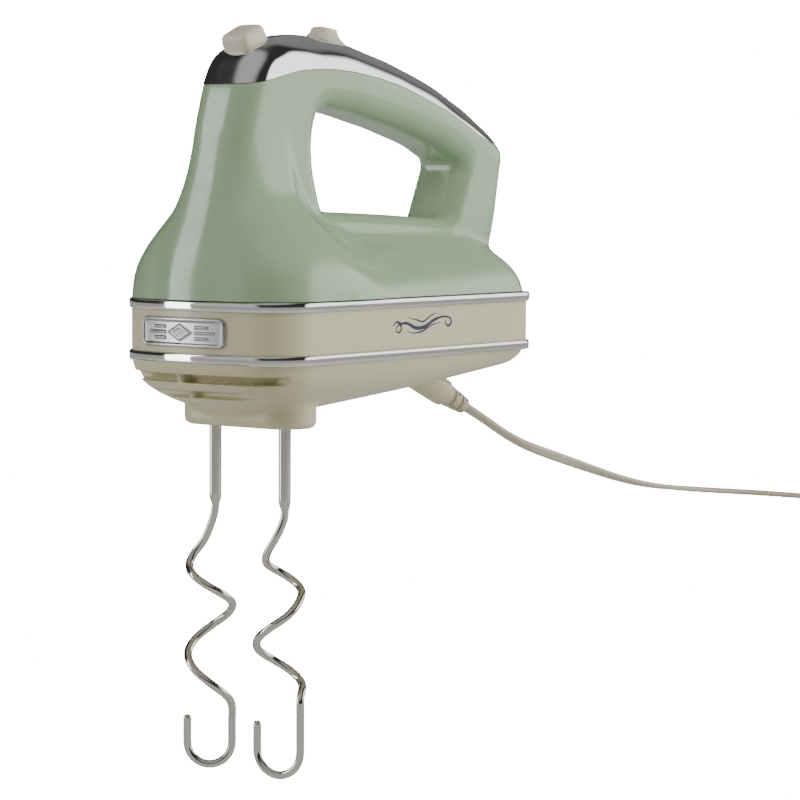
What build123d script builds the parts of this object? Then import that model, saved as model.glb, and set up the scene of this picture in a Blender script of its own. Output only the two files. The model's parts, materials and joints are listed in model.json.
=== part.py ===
"""A retro hand mixer with two dough hooks, as an assembly of its separate pieces.

Millimetres. The part hangs from a hand, so its origin is the centre of the handle's grip.
+Z is up, +X runs from the nose to the heel, and the hooks hang side by side along Y.
Inside the script, x is measured from the plane of the two spindles and z from the top edge
of the upper trim ring; level(), side() and across() carry those places to the origin.
"""

import os
from math import atan, cos, degrees, pi, radians, sin, tan

from build123d import *

# Where the origin lies, seen from the spindle plane and the top of the upper trim ring
GRIP_X = 78.0
GRIP_Z = 90.0

# Casing
WALL = 2.6
RING_HEIGHT = 4.5
RING_PROUD = 1.2
BAND_BOTTOM = -22.1
BASE_TOP = BAND_BOTTOM - RING_HEIGHT
HANDLE_HALF_WIDTH = 16.0
HANDLE_ROUND = 10.0
CAVITY_HALF_WIDTH = 11.0
COVER_WALL = 2.0
SEAM = 0.1
PLAQUE_SIZE = (45.0, 12.4)
PLAQUE_LOW = -19.6
PLAQUE_PROUD = -1.4

# Plan of the casing at the trim rings
NOSE_X = -41.7
HEEL_X = 164.2
NOSE_HALF_WIDTH = 51.3
HEEL_HALF_WIDTH = 30.1
SHOULDER_SETBACK = 8.9
SHOULDER_RADIUS = 22.8
HEEL_RADIUS = 13.0
NOSE_BLUNTNESS = 0.8

# Case screws and the posts that they join
SCREW_SPOTS = [(37, 33), (37, -33), (140, 18), (140, -18)]
SCREW_RADIUS = 1.5
SCREW_HEAD_RADIUS = 3.0
POST_RADIUS = 4.0
POST_JOINT = -19.8
POST_SHELF = 2.0

# Drive
SPINDLE_Y = 20.0
MOTOR_Z = -14.0
SHAFT_RADIUS = 2.5
WHEEL_TEETH = 30
WORM_STARTS = 2
WHEEL_PITCH_RADIUS = 16.0
WORM_PITCH_RADIUS = SPINDLE_Y - WHEEL_PITCH_RADIUS
TOOTH_PITCH = 2 * pi * WHEEL_PITCH_RADIUS / WHEEL_TEETH
WORM_LEAD = TOOTH_PITCH * WORM_STARTS
LEAD_ANGLE = degrees(atan(WORM_LEAD / (2 * pi * WORM_PITCH_RADIUS)))
TOOTH_HEIGHT = 1.7
WHEEL_THICKNESS = 6.0
WORM_LENGTH = 18.0
BOSS_RADIUS = 13.4
BOSS_HEIGHT = 20.0
BUSH_RADIUS = 8.5
SHAFT_BUSH_RADIUS = 5.0
BOSS_BOTTOM = -54.5
SPINDLE_RADIUS = 5.5
SPINDLE_BOTTOM = -53.0
SPINDLE_TOP = -8.0
SPINDLE_SPOTS = [(0, SPINDLE_Y), (0, -SPINDLE_Y)]
RUNNING_GAP = 0.05

# Motor
STACK_X = 54.0
STACK_LENGTH = 28.0
ROTOR_RADIUS = 13.0
FAN_X = 34.0
COMMUTATOR_X = 92.0
COMMUTATOR_RADIUS = 8.0
BRACKET_X = 110.0
ARMATURE_REAR = 116.0
THREAD_PHASE = 2 * pi * (WORM_LENGTH / 2) / WORM_LEAD

# Hook release
ROD_LOW = 7.0
ROD_TOP = 96.5
COLLAR_Z = 84.0
GUIDE_Z = 62.0
PIN_LOW = -14.5

# Dough hooks
HOOK_SHAFT_RADIUS = 2.7
HOOK_WIRE_RADIUS = 1.8
HOOK_TOP = -20.0
SLEEVE_END = -86.0
HOOK_SWING = 9.6
HOOK_BOTTOM = -203.0

# Mains lead, which ends in a put-away coil on a surface behind the mixer
CORD_RADIUS = 2.5
CORD_TILT = 24.0
GUARD_LENGTH = 48.0
GUARD_RADIUS = 5.0
PIN_SPACING = 18.6
CORD_EXIT_X = 147.0
CORD_EXIT_Z = -53.6
REST_LEVEL = -112.0
COIL_X = 350.0
COIL_Y = -100.0
COIL_INNER = 20.0
COIL_OUTER = 35.0
COIL_HEIGHT = 10.0
LAST_TURN = 32.5
PLUG_X = COIL_X + 8.0
PLUG_Y = COIL_Y + 9.0
PLUG_HEIGHT = 17.0
PLUG_LENGTH = 42.0


def level(z, x=0.0, y=0.0):
    """A horizontal plane, facing up, with its origin x from the spindles."""
    return Plane(origin=(x - GRIP_X, y, z - GRIP_Z))


def side(y=0.0, x=0.0, z=0.0):
    """An upright plane along the mixer: sketch x runs to the heel and sketch y runs up."""
    return Plane(origin=(x - GRIP_X, y, z - GRIP_Z), x_dir=(1, 0, 0), z_dir=(0, -1, 0))


def across(x, z=0.0, y=0.0):
    """An upright plane across the mixer: sketch x runs along +Y and sketch y runs up."""
    return Plane(origin=(x - GRIP_X, y, z - GRIP_Z), x_dir=(0, 1, 0), z_dir=(1, 0, 0))


def place(x, y, z):
    """A point given from the spindles and the upper trim ring, carried to the origin."""
    return (x - GRIP_X, y, z - GRIP_Z)


def finish(part, name):
    """Labels a finished piece and writes it as its own STEP file."""
    part.label = name
    export_step(part, f"parts/{name}.step")


def casing_plan(height, inset=0.0, nose=NOSE_X, heel=HEEL_X, front=NOSE_HALF_WIDTH,
                rear=HEEL_HALF_WIDTH, shoulder=SHOULDER_RADIUS, corner=HEEL_RADIUS):
    """The casing's plan at a height: a blunt wedge, its five corners rounded."""
    half_width = front - inset
    shoulder_radius = max(shoulder - inset, 6.0)
    nose_radius = NOSE_BLUNTNESS * (half_width - shoulder_radius) * half_width / SHOULDER_SETBACK
    shoulder_x = nose + SHOULDER_SETBACK + 0.8 * inset
    heel_y = rear - 0.9 * inset
    heel_radius = max(corner - 0.5 * inset, 4.0)
    with BuildSketch(level(height)) as plan:
        with BuildLine():
            FilletPolyline(
                (heel - inset, -heel_y),
                (shoulder_x, -half_width),
                (nose + inset, 0),
                (shoulder_x, half_width),
                (heel - inset, heel_y),
                radius=[heel_radius, shoulder_radius, nose_radius, shoulder_radius, heel_radius],
                close=True,
            )
        make_face()
    return plan.sketch


def ring_wall(top, bottom, outset, wall):
    """Adds an upright wall that follows the casing's plan all round."""
    extrude(casing_plan(bottom, -outset), amount=top - bottom)
    extrude(casing_plan(bottom, wall - outset), amount=top - bottom, mode=Mode.SUBTRACT)


os.makedirs("parts", exist_ok=True)

# ---------------------------------------------------------------- casing, from the top down

# Side view of the handle: the outline from the nose over the grip to the heel
LOOP_OUTLINE = [(-39.5, 0), (-37, 27), (-26.5, 52), (-20.5, 86), (-11.5, 105.5), (24, 113.5),
                (84, 104.5), (133, 90), (169, 66), (156, 30), (151, 15), (162.5, 12), (162.5, 0)]
LOOP_RADII = [25, 60, 60, 12, 50, 90, 90, 14, 60, 6, 8]
# Side view of the opening that the fingers go through
FINGER_OUTLINE = [(33, 37.5), (25, 66), (29.5, 81.5), (54, 79.5), (113.5, 66.5), (129.5, 59), (118, 33.5)]
FINGER_RADII = [5, 24, 8, 60, 24, 8, 4]
# Side view of the seam under the chrome cover, from the nose to the cover's tip
COVER_SEAM = [(-60, 90), (-12, 90.5), (12, 97), (45, 98.5), (85, 91.5), (116, 81.5), (138, 71.5),
              (152, 70), (190, 76)]
COVER_SEAM_RADII = [20, 40, 60, 120, 120, 40, 20]


def loop_side(inset=0.0):
    """The handle's side view, solid, with its outline moved in by the inset."""
    with BuildSketch(side()) as outline:
        with BuildLine():
            arch = FilletPolyline(*LOOP_OUTLINE, radius=LOOP_RADII)
            Line(arch @ 1, arch @ 0)
        make_face()
        if inset:
            offset(amount=-inset, kind=Kind.INTERSECTION, mode=Mode.REPLACE)
    return outline.sketch


def finger_side(grow=0.0):
    """The finger opening's side view, grown all round."""
    with BuildSketch(side()) as opening:
        with BuildLine():
            FilletPolyline(*FINGER_OUTLINE, radius=FINGER_RADII, close=True)
        make_face()
        if grow:
            offset(amount=grow, mode=Mode.REPLACE)
    return opening.sketch


def above_seam(drop=0.0):
    """The side view of all that lies above the chrome cover's seam, moved down by the drop."""
    with BuildSketch(side()) as region:
        with BuildLine():
            seam = FilletPolyline(*[(x, z - drop) for x, z in COVER_SEAM], radius=COVER_SEAM_RADII)
            Polyline(seam @ 1, (190, 130), (-60, 130), seam @ 0)
        make_face()
    return region.sketch


SKIRT_LEVELS = [
    # height, nose x, heel x, half-width at the shoulders and at the heel, shoulder radius
    (0.0, -40.5, 163.0, 50.1, 28.9, 22.0),
    (12.0, -39.5, 158.5, 46.0, 25.0, 21.0),
    (22.0, -37.5, 148.0, 39.5, 20.0, 20.0),
    (34.0, -33.0, 122.0, 28.0, 14.0, 16.0),
]
NOSE_LEVELS = [
    # height, nose x, rear x, half-width, corner radius
    (0.0, -38.0, 60.0, 44.0, 26.0),
    (22.0, -36.5, 50.0, 37.0, 24.0),
    (34.0, -33.5, 40.0, 27.5, 20.0),
    (46.0, -29.5, 33.5, 21.0, 16.0),
    (62.0, -25.5, 29.5, 17.0, 13.0),
]


def skirt_plans(inset=0.0, drop=0.0):
    """Plans of the low bell of the casing, from the ring upwards."""
    return [casing_plan(height - drop if height else 0.0, inset, nose, heel, front, rear, shoulder, 12.0)
            for height, nose, heel, front, rear, shoulder in SKIRT_LEVELS]


def nose_plans(inset=0.0):
    """Plans of the nose column's flare, from the ring upwards."""
    plans = []
    for height, nose, rear, half_width, corner in NOSE_LEVELS:
        with BuildSketch(level(height, (nose + rear) / 2)) as plan:
            RectangleRounded(rear - nose - 2 * inset, 2 * (half_width - inset), corner - inset)
        plans.append(plan.sketch)
    return plans


with BuildPart() as handle_form:
    extrude(loop_side(), amount=HANDLE_HALF_WIDTH, both=True)
    extrude(finger_side(), amount=60, both=True, mode=Mode.SUBTRACT)
    rims = [edge for edge in handle_form.faces().filter_by(Axis.Y).edges()
            if edge.center().Z > 20 - GRIP_Z]
    fillet(rims, radius=HANDLE_ROUND)

with BuildPart() as handle_cavity:
    extrude(loop_side(WALL), amount=CAVITY_HALF_WIDTH, both=True)
    extrude(finger_side(WALL), amount=60, both=True, mode=Mode.SUBTRACT)

with BuildPart() as under_roof:
    loft(skirt_plans(WALL / 2, WALL / 2))

with BuildPart() as shell_posts:
    with BuildSketch(level(0)):
        with Locations(*SCREW_SPOTS):
            Circle(POST_RADIUS)
    extrude(amount=30)
    add(under_roof.part, mode=Mode.INTERSECT)
    with BuildSketch(level(POST_JOINT)):
        with Locations(*SCREW_SPOTS):
            Circle(POST_RADIUS)
    extrude(amount=-POST_JOINT)
    with BuildSketch(level(POST_JOINT)):
        with Locations(*SCREW_SPOTS):
            Circle(SCREW_RADIUS)
    extrude(amount=14, mode=Mode.SUBTRACT)

with BuildPart() as upper_shell:
    add(handle_form.part)
    loft(skirt_plans())
    loft(nose_plans())
    extrude(finger_side(), amount=60, both=True, mode=Mode.SUBTRACT)
    loft(skirt_plans(WALL, WALL), mode=Mode.SUBTRACT)
    loft(nose_plans(WALL), mode=Mode.SUBTRACT)
    add(handle_cavity.part, mode=Mode.SUBTRACT)
    extrude(above_seam(), amount=60, both=True, mode=Mode.SUBTRACT)
    add(shell_posts.part)
finish(upper_shell.part, "upper_shell")

# The top of the handle's slope, where the speed slider runs: local x points down the slope
SLOPE = degrees(atan((113.5 - 104.5) / (84 - 24)))
SLIDER_X = 48.0
SLIDER_Z = 113.5 - (SLIDER_X - 24) * tan(radians(SLOPE))
SLIDER_TRAVEL = 16.0
slider_plane = Plane(origin=place(SLIDER_X, 0, SLIDER_Z),
                     x_dir=(cos(radians(SLOPE)), 0, -sin(radians(SLOPE))),
                     z_dir=(sin(radians(SLOPE)), 0, cos(radians(SLOPE))))
# The eject button leans forwards on the nose
BUTTON_LEAN = 18.0
BUTTON_SIZE = 14.5
BUTTON_TRAVEL = 5.0
button_plane = Plane(origin=place(-1, 0, 105.5),
                     x_dir=(cos(radians(BUTTON_LEAN)), 0, sin(radians(BUTTON_LEAN))),
                     z_dir=(-sin(radians(BUTTON_LEAN)), 0, cos(radians(BUTTON_LEAN))))

with BuildPart() as cover_inside:
    extrude(loop_side(COVER_WALL), amount=CAVITY_HALF_WIDTH, both=True)

with BuildPart() as chrome_cover:
    add(handle_form.part)
    extrude(above_seam(), amount=60, both=True, mode=Mode.INTERSECT)
    add(cover_inside.part, mode=Mode.SUBTRACT)
    with BuildSketch(slider_plane.offset(-10)):
        with Locations((SLIDER_TRAVEL / 2, 0)):
            Rectangle(SLIDER_TRAVEL + 6.8, 6.8)
    extrude(amount=20, mode=Mode.SUBTRACT)
    with BuildSketch(button_plane.offset(-12)):
        RectangleRounded(BUTTON_SIZE + 0.8, BUTTON_SIZE + 0.8, 4)
    extrude(amount=30, mode=Mode.SUBTRACT)
finish(chrome_cover.part, "chrome_cover")

with BuildPart() as upper_trim_ring:
    ring_wall(-SEAM, -RING_HEIGHT + SEAM, 0.0, WALL + RING_PROUD)
finish(upper_trim_ring.part, "upper_trim_ring")

with BuildPart() as middle_band:
    ring_wall(-RING_HEIGHT, BAND_BOTTOM, -RING_PROUD, WALL)
finish(middle_band.part, "middle_band")

with BuildPart() as lower_trim_ring:
    ring_wall(BAND_BOTTOM - SEAM, BASE_TOP + SEAM, 0.0, WALL + RING_PROUD)
finish(lower_trim_ring.part, "lower_trim_ring")

with BuildPart() as nose_plaque:
    extrude(casing_plan(PLAQUE_LOW, PLAQUE_PROUD), amount=PLAQUE_SIZE[1])
    with BuildSketch(across(NOSE_X - 10, PLAQUE_LOW + PLAQUE_SIZE[1] / 2)):
        RectangleRounded(*PLAQUE_SIZE, 3.5)
    extrude(amount=20, mode=Mode.INTERSECT)
    extrude(casing_plan(PLAQUE_LOW, RING_PROUD - SEAM / 2), amount=PLAQUE_SIZE[1], mode=Mode.SUBTRACT)
finish(nose_plaque.part, "nose_plaque")

# ---------------------------------------------------------------- base cover and its louvres

BASE_LEVELS = [
    # height, inset from the casing's plan
    (BASE_TOP, 1.6),
    (-33.0, 4.4),
    (-39.5, 11.5),
    (-46.5, 24.0),
]
LOUVRES = [(-34.6, -31.2), (-41.4, -38.2)]
LOUVRE_END = -23.0
BASE_FLOOR = -47.0
FLOOR_SLOPE = 6.4
LOUVRE_SPACING = 24.0


def base_form(inset=0.0):
    """Adds the bowl of the base: plans of shrinking size, its floor rising to the heel."""
    loft([casing_plan(height, base_inset + inset) for height, base_inset in BASE_LEVELS])
    slope = radians(FLOOR_SLOPE)
    floor_plane = Plane(origin=place(30, 0, BASE_FLOOR + inset), x_dir=(cos(slope), 0, sin(slope)),
                        z_dir=(-sin(slope), 0, cos(slope)))
    split(bisect_by=floor_plane, keep=Keep.TOP)


with BuildPart() as base_inside:
    base_form(WALL)

stub_axis = Plane(origin=place(CORD_EXIT_X, 0, CORD_EXIT_Z),
                  z_dir=(-cos(radians(CORD_TILT)), 0, sin(radians(CORD_TILT))))

with BuildPart() as behind_louvres:
    loft([casing_plan(height, base_inset + 1.0) for height, base_inset in BASE_LEVELS])

with BuildPart() as louvre_posts:
    with BuildSketch(level(LOUVRES[1][0] - 1, -20)):
        with PolarLocations(0, 5, start_angle=180 - 2 * LOUVRE_SPACING, angular_range=4 * LOUVRE_SPACING):
            with Locations((25, 0)):
                Rectangle(50, 3)
    extrude(amount=LOUVRES[0][1] - LOUVRES[1][0] + 2)
    add(behind_louvres.part, mode=Mode.INTERSECT)
    add(base_inside.part, mode=Mode.SUBTRACT)

with BuildPart() as within_base:
    base_form(WALL / 2)

with BuildPart() as base_posts:
    with BuildSketch(level(-50)):
        with Locations(*SCREW_SPOTS):
            Circle(POST_RADIUS + 1)
    extrude(amount=50 + BASE_TOP)
    add(within_base.part, mode=Mode.INTERSECT)
    with BuildSketch(level(BASE_TOP)):
        with Locations(*SCREW_SPOTS):
            Circle(POST_RADIUS + 1)
    extrude(amount=POST_JOINT - BASE_TOP)

with BuildPart() as base_cover:
    base_form()
    with BuildSketch(stub_axis.offset(16.5)):
        Circle(6.2)
    extrude(amount=22)
    add(base_inside.part, mode=Mode.SUBTRACT)
    for low, high in LOUVRES:
        with BuildSketch(level(low, -60)):
            Rectangle(2 * (60 + LOUVRE_END), 120)
        extrude(amount=high - low, mode=Mode.SUBTRACT)
    add(louvre_posts.part)
    with BuildSketch(level(BOSS_BOTTOM)):
        SlotCenterToCenter(2 * SPINDLE_Y, 2 * BOSS_RADIUS, rotation=90)
    extrude(amount=BOSS_HEIGHT)
    boss_floor = BOSS_BOTTOM - GRIP_Z
    boss_rim = base_cover.edges().filter_by_position(Axis.Z, boss_floor - 0.01, boss_floor + 0.01)
    fillet(boss_rim, radius=2.0)
    with BuildSketch(level(BOSS_BOTTOM + WALL)):
        with Locations(*SPINDLE_SPOTS):
            Circle(BUSH_RADIUS)
    extrude(amount=30, mode=Mode.SUBTRACT)
    with BuildSketch(level(BOSS_BOTTOM - 1)):
        with Locations(*SPINDLE_SPOTS):
            Circle(SPINDLE_RADIUS + 0.6)
    extrude(amount=30, mode=Mode.SUBTRACT)
    add(base_posts.part)
    with BuildSketch(level(POST_JOINT - POST_SHELF)):
        with Locations(*SCREW_SPOTS):
            Circle(SCREW_HEAD_RADIUS + 0.3)
    extrude(amount=-40, mode=Mode.SUBTRACT)
    with BuildSketch(level(POST_JOINT - POST_SHELF)):
        with Locations(*SCREW_SPOTS):
            Circle(SCREW_RADIUS)
    extrude(amount=POST_SHELF, mode=Mode.SUBTRACT)
    with BuildSketch(stub_axis):
        Circle(GUARD_RADIUS + SEAM)
    extrude(amount=GUARD_LENGTH + 1, mode=Mode.SUBTRACT)
finish(base_cover.part, "base_cover")

# Four screws come up through the base cover's posts into those of the upper shell
with BuildPart() as case_screws:
    for x, y in SCREW_SPOTS:
        with BuildSketch(level(POST_JOINT - POST_SHELF, x, y)):
            Circle(SCREW_HEAD_RADIUS)
        extrude(amount=-2.2)
        with BuildSketch(level(POST_JOINT - POST_SHELF, x, y)):
            Circle(SCREW_RADIUS)
        extrude(amount=14)
finish(case_screws.part, "case_screws")

# ---------------------------------------------------------------- gearbox

GEARBOX = (-21.0, 27.0, 80.0, -24.0, -1.0)
GEARBOX_WALL = 3.0
gearbox_back, gearbox_front, gearbox_width, gearbox_low, gearbox_high = GEARBOX
gearbox_mid = (gearbox_back + gearbox_front) / 2
gearbox_length = gearbox_front - gearbox_back

with BuildPart() as gearbox_housing:
    with BuildSketch(level(gearbox_low, gearbox_mid)):
        RectangleRounded(gearbox_length, gearbox_width, 6)
    extrude(amount=gearbox_high - gearbox_low)
    with BuildSketch(level(gearbox_low + GEARBOX_WALL, gearbox_mid)):
        RectangleRounded(gearbox_length - 2 * GEARBOX_WALL, gearbox_width - 2 * GEARBOX_WALL, 4)
    extrude(amount=30, mode=Mode.SUBTRACT)
    with BuildSketch(level(gearbox_low - 1)):
        with Locations(*SPINDLE_SPOTS):
            Circle(BUSH_RADIUS)
    extrude(amount=10, mode=Mode.SUBTRACT)
    with BuildSketch(across(gearbox_back - 1, MOTOR_Z)):
        Circle(SHAFT_BUSH_RADIUS)
    extrude(amount=gearbox_length + 2, mode=Mode.SUBTRACT)
finish(gearbox_housing.part, "gearbox_housing")

with BuildPart() as gearbox_cover:
    with BuildSketch(level(gearbox_high, gearbox_mid)):
        RectangleRounded(gearbox_length, gearbox_width, 6)
        with Locations(*[(x - gearbox_mid, y) for x, y in SPINDLE_SPOTS]):
            Circle(3.0, mode=Mode.SUBTRACT)
    extrude(amount=1.5)
finish(gearbox_cover.part, "gearbox_cover")


def bush(name, plane, length, outer, inner):
    """A plain bearing: a turned ring, pressed into its seat."""
    with BuildPart() as ring:
        with BuildSketch(plane):
            Circle(outer)
            Circle(inner + RUNNING_GAP, mode=Mode.SUBTRACT)
        extrude(amount=length)
    finish(ring.part, name)


for hand, y in (("left", SPINDLE_Y), ("right", -SPINDLE_Y)):
    bush(f"upper_bush_{hand}", level(gearbox_low, 0, y), 5.0, BUSH_RADIUS, SPINDLE_RADIUS)
    bush(f"lower_bush_{hand}", level(BOSS_BOTTOM + WALL, 0, y), 8.0, BUSH_RADIUS, SPINDLE_RADIUS)
    bush(f"thrust_washer_{hand}", level(gearbox_low + 5.0 + 0.03, 0, y), 1.0, 8.0, SPINDLE_RADIUS)

    with BuildPart() as spindle:
        with BuildSketch(level(SPINDLE_BOTTOM, 0, y)):
            Circle(SPINDLE_RADIUS)
            Circle(HOOK_SHAFT_RADIUS + RUNNING_GAP, mode=Mode.SUBTRACT)
        extrude(amount=SPINDLE_TOP - SPINDLE_BOTTOM)
    finish(spindle.part, f"spindle_{hand}")

    with BuildPart() as worm_wheel:
        with BuildSketch(level(MOTOR_Z - WHEEL_THICKNESS / 2, 0, y)):
            Circle(WHEEL_PITCH_RADIUS - TOOTH_HEIGHT / 2 - 0.2)
        extrude(amount=WHEEL_THICKNESS)
        # The teeth slant by the worm's lead angle; a gap faces the worm
        start = (-90 if y > 0 else 90) + 180 / WHEEL_TEETH
        for tooth in range(WHEEL_TEETH):
            turn = start + tooth * 360 / WHEEL_TEETH
            radial = Plane(origin=place(0, y, MOTOR_Z), x_dir=(-sin(radians(turn)), cos(radians(turn)), 0),
                           z_dir=(cos(radians(turn)), sin(radians(turn)), 0))
            with BuildSketch(radial.offset(WHEEL_PITCH_RADIUS - TOOTH_HEIGHT / 2 - 1.2)):
                Rectangle(1.5, WHEEL_THICKNESS - 0.6, rotation=-LEAD_ANGLE)
            with BuildSketch(radial.offset(WHEEL_PITCH_RADIUS + TOOTH_HEIGHT / 2)):
                Rectangle(0.7, WHEEL_THICKNESS - 0.6, rotation=-LEAD_ANGLE)
            loft()
        with BuildSketch(level(MOTOR_Z - WHEEL_THICKNESS / 2, 0, y)):
            Circle(SPINDLE_RADIUS)
        extrude(amount=WHEEL_THICKNESS, mode=Mode.SUBTRACT)
    finish(worm_wheel.part, f"worm_wheel_{hand}")

    with BuildPart() as hook_clip:
        with BuildSketch(level(-31.0, 0, y)):
            Circle(SPINDLE_RADIUS + 0.9)
            Circle(SPINDLE_RADIUS, mode=Mode.SUBTRACT)
        extrude(amount=1.2)
    finish(hook_clip.part, f"hook_clip_{hand}")

# ---------------------------------------------------------------- motor

with BuildPart() as worm_thread:
    with BuildLine() as thread_line:
        Helix(WORM_LEAD, WORM_LENGTH, WORM_PITCH_RADIUS)
    with BuildSketch(Plane(origin=thread_line.line @ 0, x_dir=(1, 0, 0), z_dir=thread_line.line % 0)):
        Trapezoid(1.3, TOOTH_HEIGHT + 0.3, 80, rotation=-90)
    sweep(path=thread_line.line, is_frenet=True)

with BuildPart() as armature_shaft:
    with BuildSketch(across(gearbox_back, MOTOR_Z)):
        Circle(SHAFT_RADIUS)
    extrude(amount=ARMATURE_REAR - gearbox_back)
    with BuildSketch(across(-WORM_LENGTH / 2 - 1, MOTOR_Z)):
        Circle(WORM_PITCH_RADIUS - TOOTH_HEIGHT / 2)
    extrude(amount=WORM_LENGTH + 2)
    for start in range(WORM_STARTS):
        # Each thread's crest crosses the spindles' plane at the side that faces a wheel
        turn = pi * start - THREAD_PHASE
        thread_start = Plane(origin=place(-WORM_LENGTH / 2, 0, MOTOR_Z), z_dir=(1, 0, 0),
                             x_dir=(0, cos(turn), sin(turn)))
        add(worm_thread.part.moved(thread_start.location))
finish(armature_shaft.part, "armature_shaft")


def turned(x, length, outer, inner):
    """A bearing ring on the motor's axis, from x towards the heel."""
    with BuildPart() as piece:
        with BuildSketch(across(x, MOTOR_Z)):
            Circle(outer)
            Circle(inner, mode=Mode.SUBTRACT)
        extrude(amount=length)
    return piece


bush_front = turned(gearbox_back, GEARBOX_WALL, SHAFT_BUSH_RADIUS, SHAFT_RADIUS + RUNNING_GAP)
finish(bush_front.part, "shaft_bush_front")
bush_middle = turned(gearbox_front - GEARBOX_WALL, GEARBOX_WALL, SHAFT_BUSH_RADIUS, SHAFT_RADIUS + RUNNING_GAP)
finish(bush_middle.part, "shaft_bush_middle")

with BuildPart() as rotor_core:
    with BuildSketch(across(STACK_X, MOTOR_Z)):
        Circle(ROTOR_RADIUS)
        Circle(SHAFT_RADIUS, mode=Mode.SUBTRACT)
        with PolarLocations(ROTOR_RADIUS - 1.8, 12):
            SlotOverall(4.4, 1.9, mode=Mode.SUBTRACT)
    extrude(amount=STACK_LENGTH)
finish(rotor_core.part, "rotor_core")

with BuildPart() as rotor_windings:
    for x in (STACK_X - 5.5, STACK_X + STACK_LENGTH + 0.5):
        with BuildSketch(across(x, MOTOR_Z)):
            Circle(ROTOR_RADIUS - 1.5)
            Circle(SHAFT_RADIUS, mode=Mode.SUBTRACT)
        extrude(amount=5.0)
    fillet(rotor_windings.edges().filter_by(GeomType.CIRCLE).sort_by(SortBy.RADIUS)[-4:], radius=1.6)
finish(rotor_windings.part, "rotor_windings")

with BuildPart() as commutator:
    with BuildSketch(across(COMMUTATOR_X, MOTOR_Z)):
        Circle(COMMUTATOR_RADIUS)
        Circle(SHAFT_RADIUS, mode=Mode.SUBTRACT)
        with PolarLocations(COMMUTATOR_RADIUS, 24):
            Rectangle(1.4, 0.4, mode=Mode.SUBTRACT)
    extrude(amount=11)
finish(commutator.part, "commutator")

with BuildPart() as cooling_fan:
    with BuildSketch(across(FAN_X, MOTOR_Z)):
        Circle(20.0)
        Circle(SHAFT_RADIUS, mode=Mode.SUBTRACT)
    extrude(amount=1.4)
    with BuildSketch(across(FAN_X + 1.4, MOTOR_Z)):
        with PolarLocations(13.0, 10, rotate=True):
            Rectangle(13.0, 1.2, rotation=24)
        Circle(5.0)
        Circle(SHAFT_RADIUS, mode=Mode.SUBTRACT)
    extrude(amount=7.0)
finish(cooling_fan.part, "cooling_fan")

with BuildPart() as stator_core:
    with BuildSketch(across(STACK_X, MOTOR_Z)):
        RectangleRounded(54, 43, 9)
        Circle(ROTOR_RADIUS + 0.7, mode=Mode.SUBTRACT)
        with GridLocations(32, 24.4, 2, 2):
            Rectangle(8, 5.6, mode=Mode.SUBTRACT)
    extrude(amount=STACK_LENGTH)
finish(stator_core.part, "stator_core")

with BuildPart() as field_coils:
    for y in (-16.0, 16.0):
        with BuildSketch(side(y, STACK_X + STACK_LENGTH / 2, MOTOR_Z)):
            RectangleRounded(STACK_LENGTH + 10, 29.4, 4.5)
            Rectangle(STACK_LENGTH + 0.4, 19.4, mode=Mode.SUBTRACT)
        extrude(amount=3.4, both=True)
finish(field_coils.part, "field_coils")

with BuildPart() as motor_bracket:
    with BuildSketch(across(BRACKET_X, MOTOR_Z)):
        RectangleRounded(48, 34, 6)
        Circle(SHAFT_BUSH_RADIUS, mode=Mode.SUBTRACT)
    extrude(amount=4)
    for y in (-1, 1):
        with BuildSketch(across(STACK_X + STACK_LENGTH, MOTOR_Z, y * 21.25)):
            Rectangle(3.5, 12)
        extrude(amount=BRACKET_X - STACK_X - STACK_LENGTH)
finish(motor_bracket.part, "motor_bracket")

bush_rear = turned(BRACKET_X, 4.0, SHAFT_BUSH_RADIUS, SHAFT_RADIUS + RUNNING_GAP)
finish(bush_rear.part, "shaft_bush_rear")

BRUSH_X = COMMUTATOR_X + 5.5
with BuildPart() as brush_holders:
    for hand in (-1, 1):
        with BuildSketch(Plane(origin=place(BRUSH_X, hand * 10.0, MOTOR_Z), z_dir=(0, hand, 0))):
            Rectangle(7.2, 8.2)
            Rectangle(5.2, 6.2, mode=Mode.SUBTRACT)
        extrude(amount=9.5)
finish(brush_holders.part, "brush_holders")

with BuildPart() as carbon_brushes:
    for hand in (-1, 1):
        brush_y = hand * (COMMUTATOR_RADIUS + 0.1)
        with BuildSketch(Plane(origin=place(BRUSH_X, brush_y, MOTOR_Z), z_dir=(0, hand, 0))):
            Rectangle(5.0, 6.0)
        extrude(amount=8.0)
    with BuildSketch(across(BRUSH_X - 5, MOTOR_Z)):
        Circle(COMMUTATOR_RADIUS + 0.1)
    extrude(amount=10, mode=Mode.SUBTRACT)
finish(carbon_brushes.part, "carbon_brushes")

with BuildPart() as brush_springs:
    for hand in (-1, 1):
        spring_y = hand * (COMMUTATOR_RADIUS + 8.2)
        with BuildSketch(Plane(origin=place(BRUSH_X, spring_y, MOTOR_Z), z_dir=(0, hand, 0))):
            Circle(2.2)
            Circle(1.6, mode=Mode.SUBTRACT)
        extrude(amount=3.2)
finish(brush_springs.part, "brush_springs")

# ---------------------------------------------------------------- wiring

with BuildPart() as terminal_block:
    with BuildSketch(level(-32.2, 132.0)):
        Rectangle(12, 20)
    extrude(amount=9)
    with BuildSketch(level(-23.2, 132.0)):
        with Locations((0, -5), (0, 5)):
            Circle(2.2)
    extrude(amount=-3, mode=Mode.SUBTRACT)
finish(terminal_block.part, "terminal_block")

with BuildPart() as suppression_capacitor:
    with BuildSketch(level(2.0, 92.0)):
        RectangleRounded(18, 12, 1.5)
    extrude(amount=12)
finish(suppression_capacitor.part, "suppression_capacitor")

# ---------------------------------------------------------------- speed control in the grip

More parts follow.
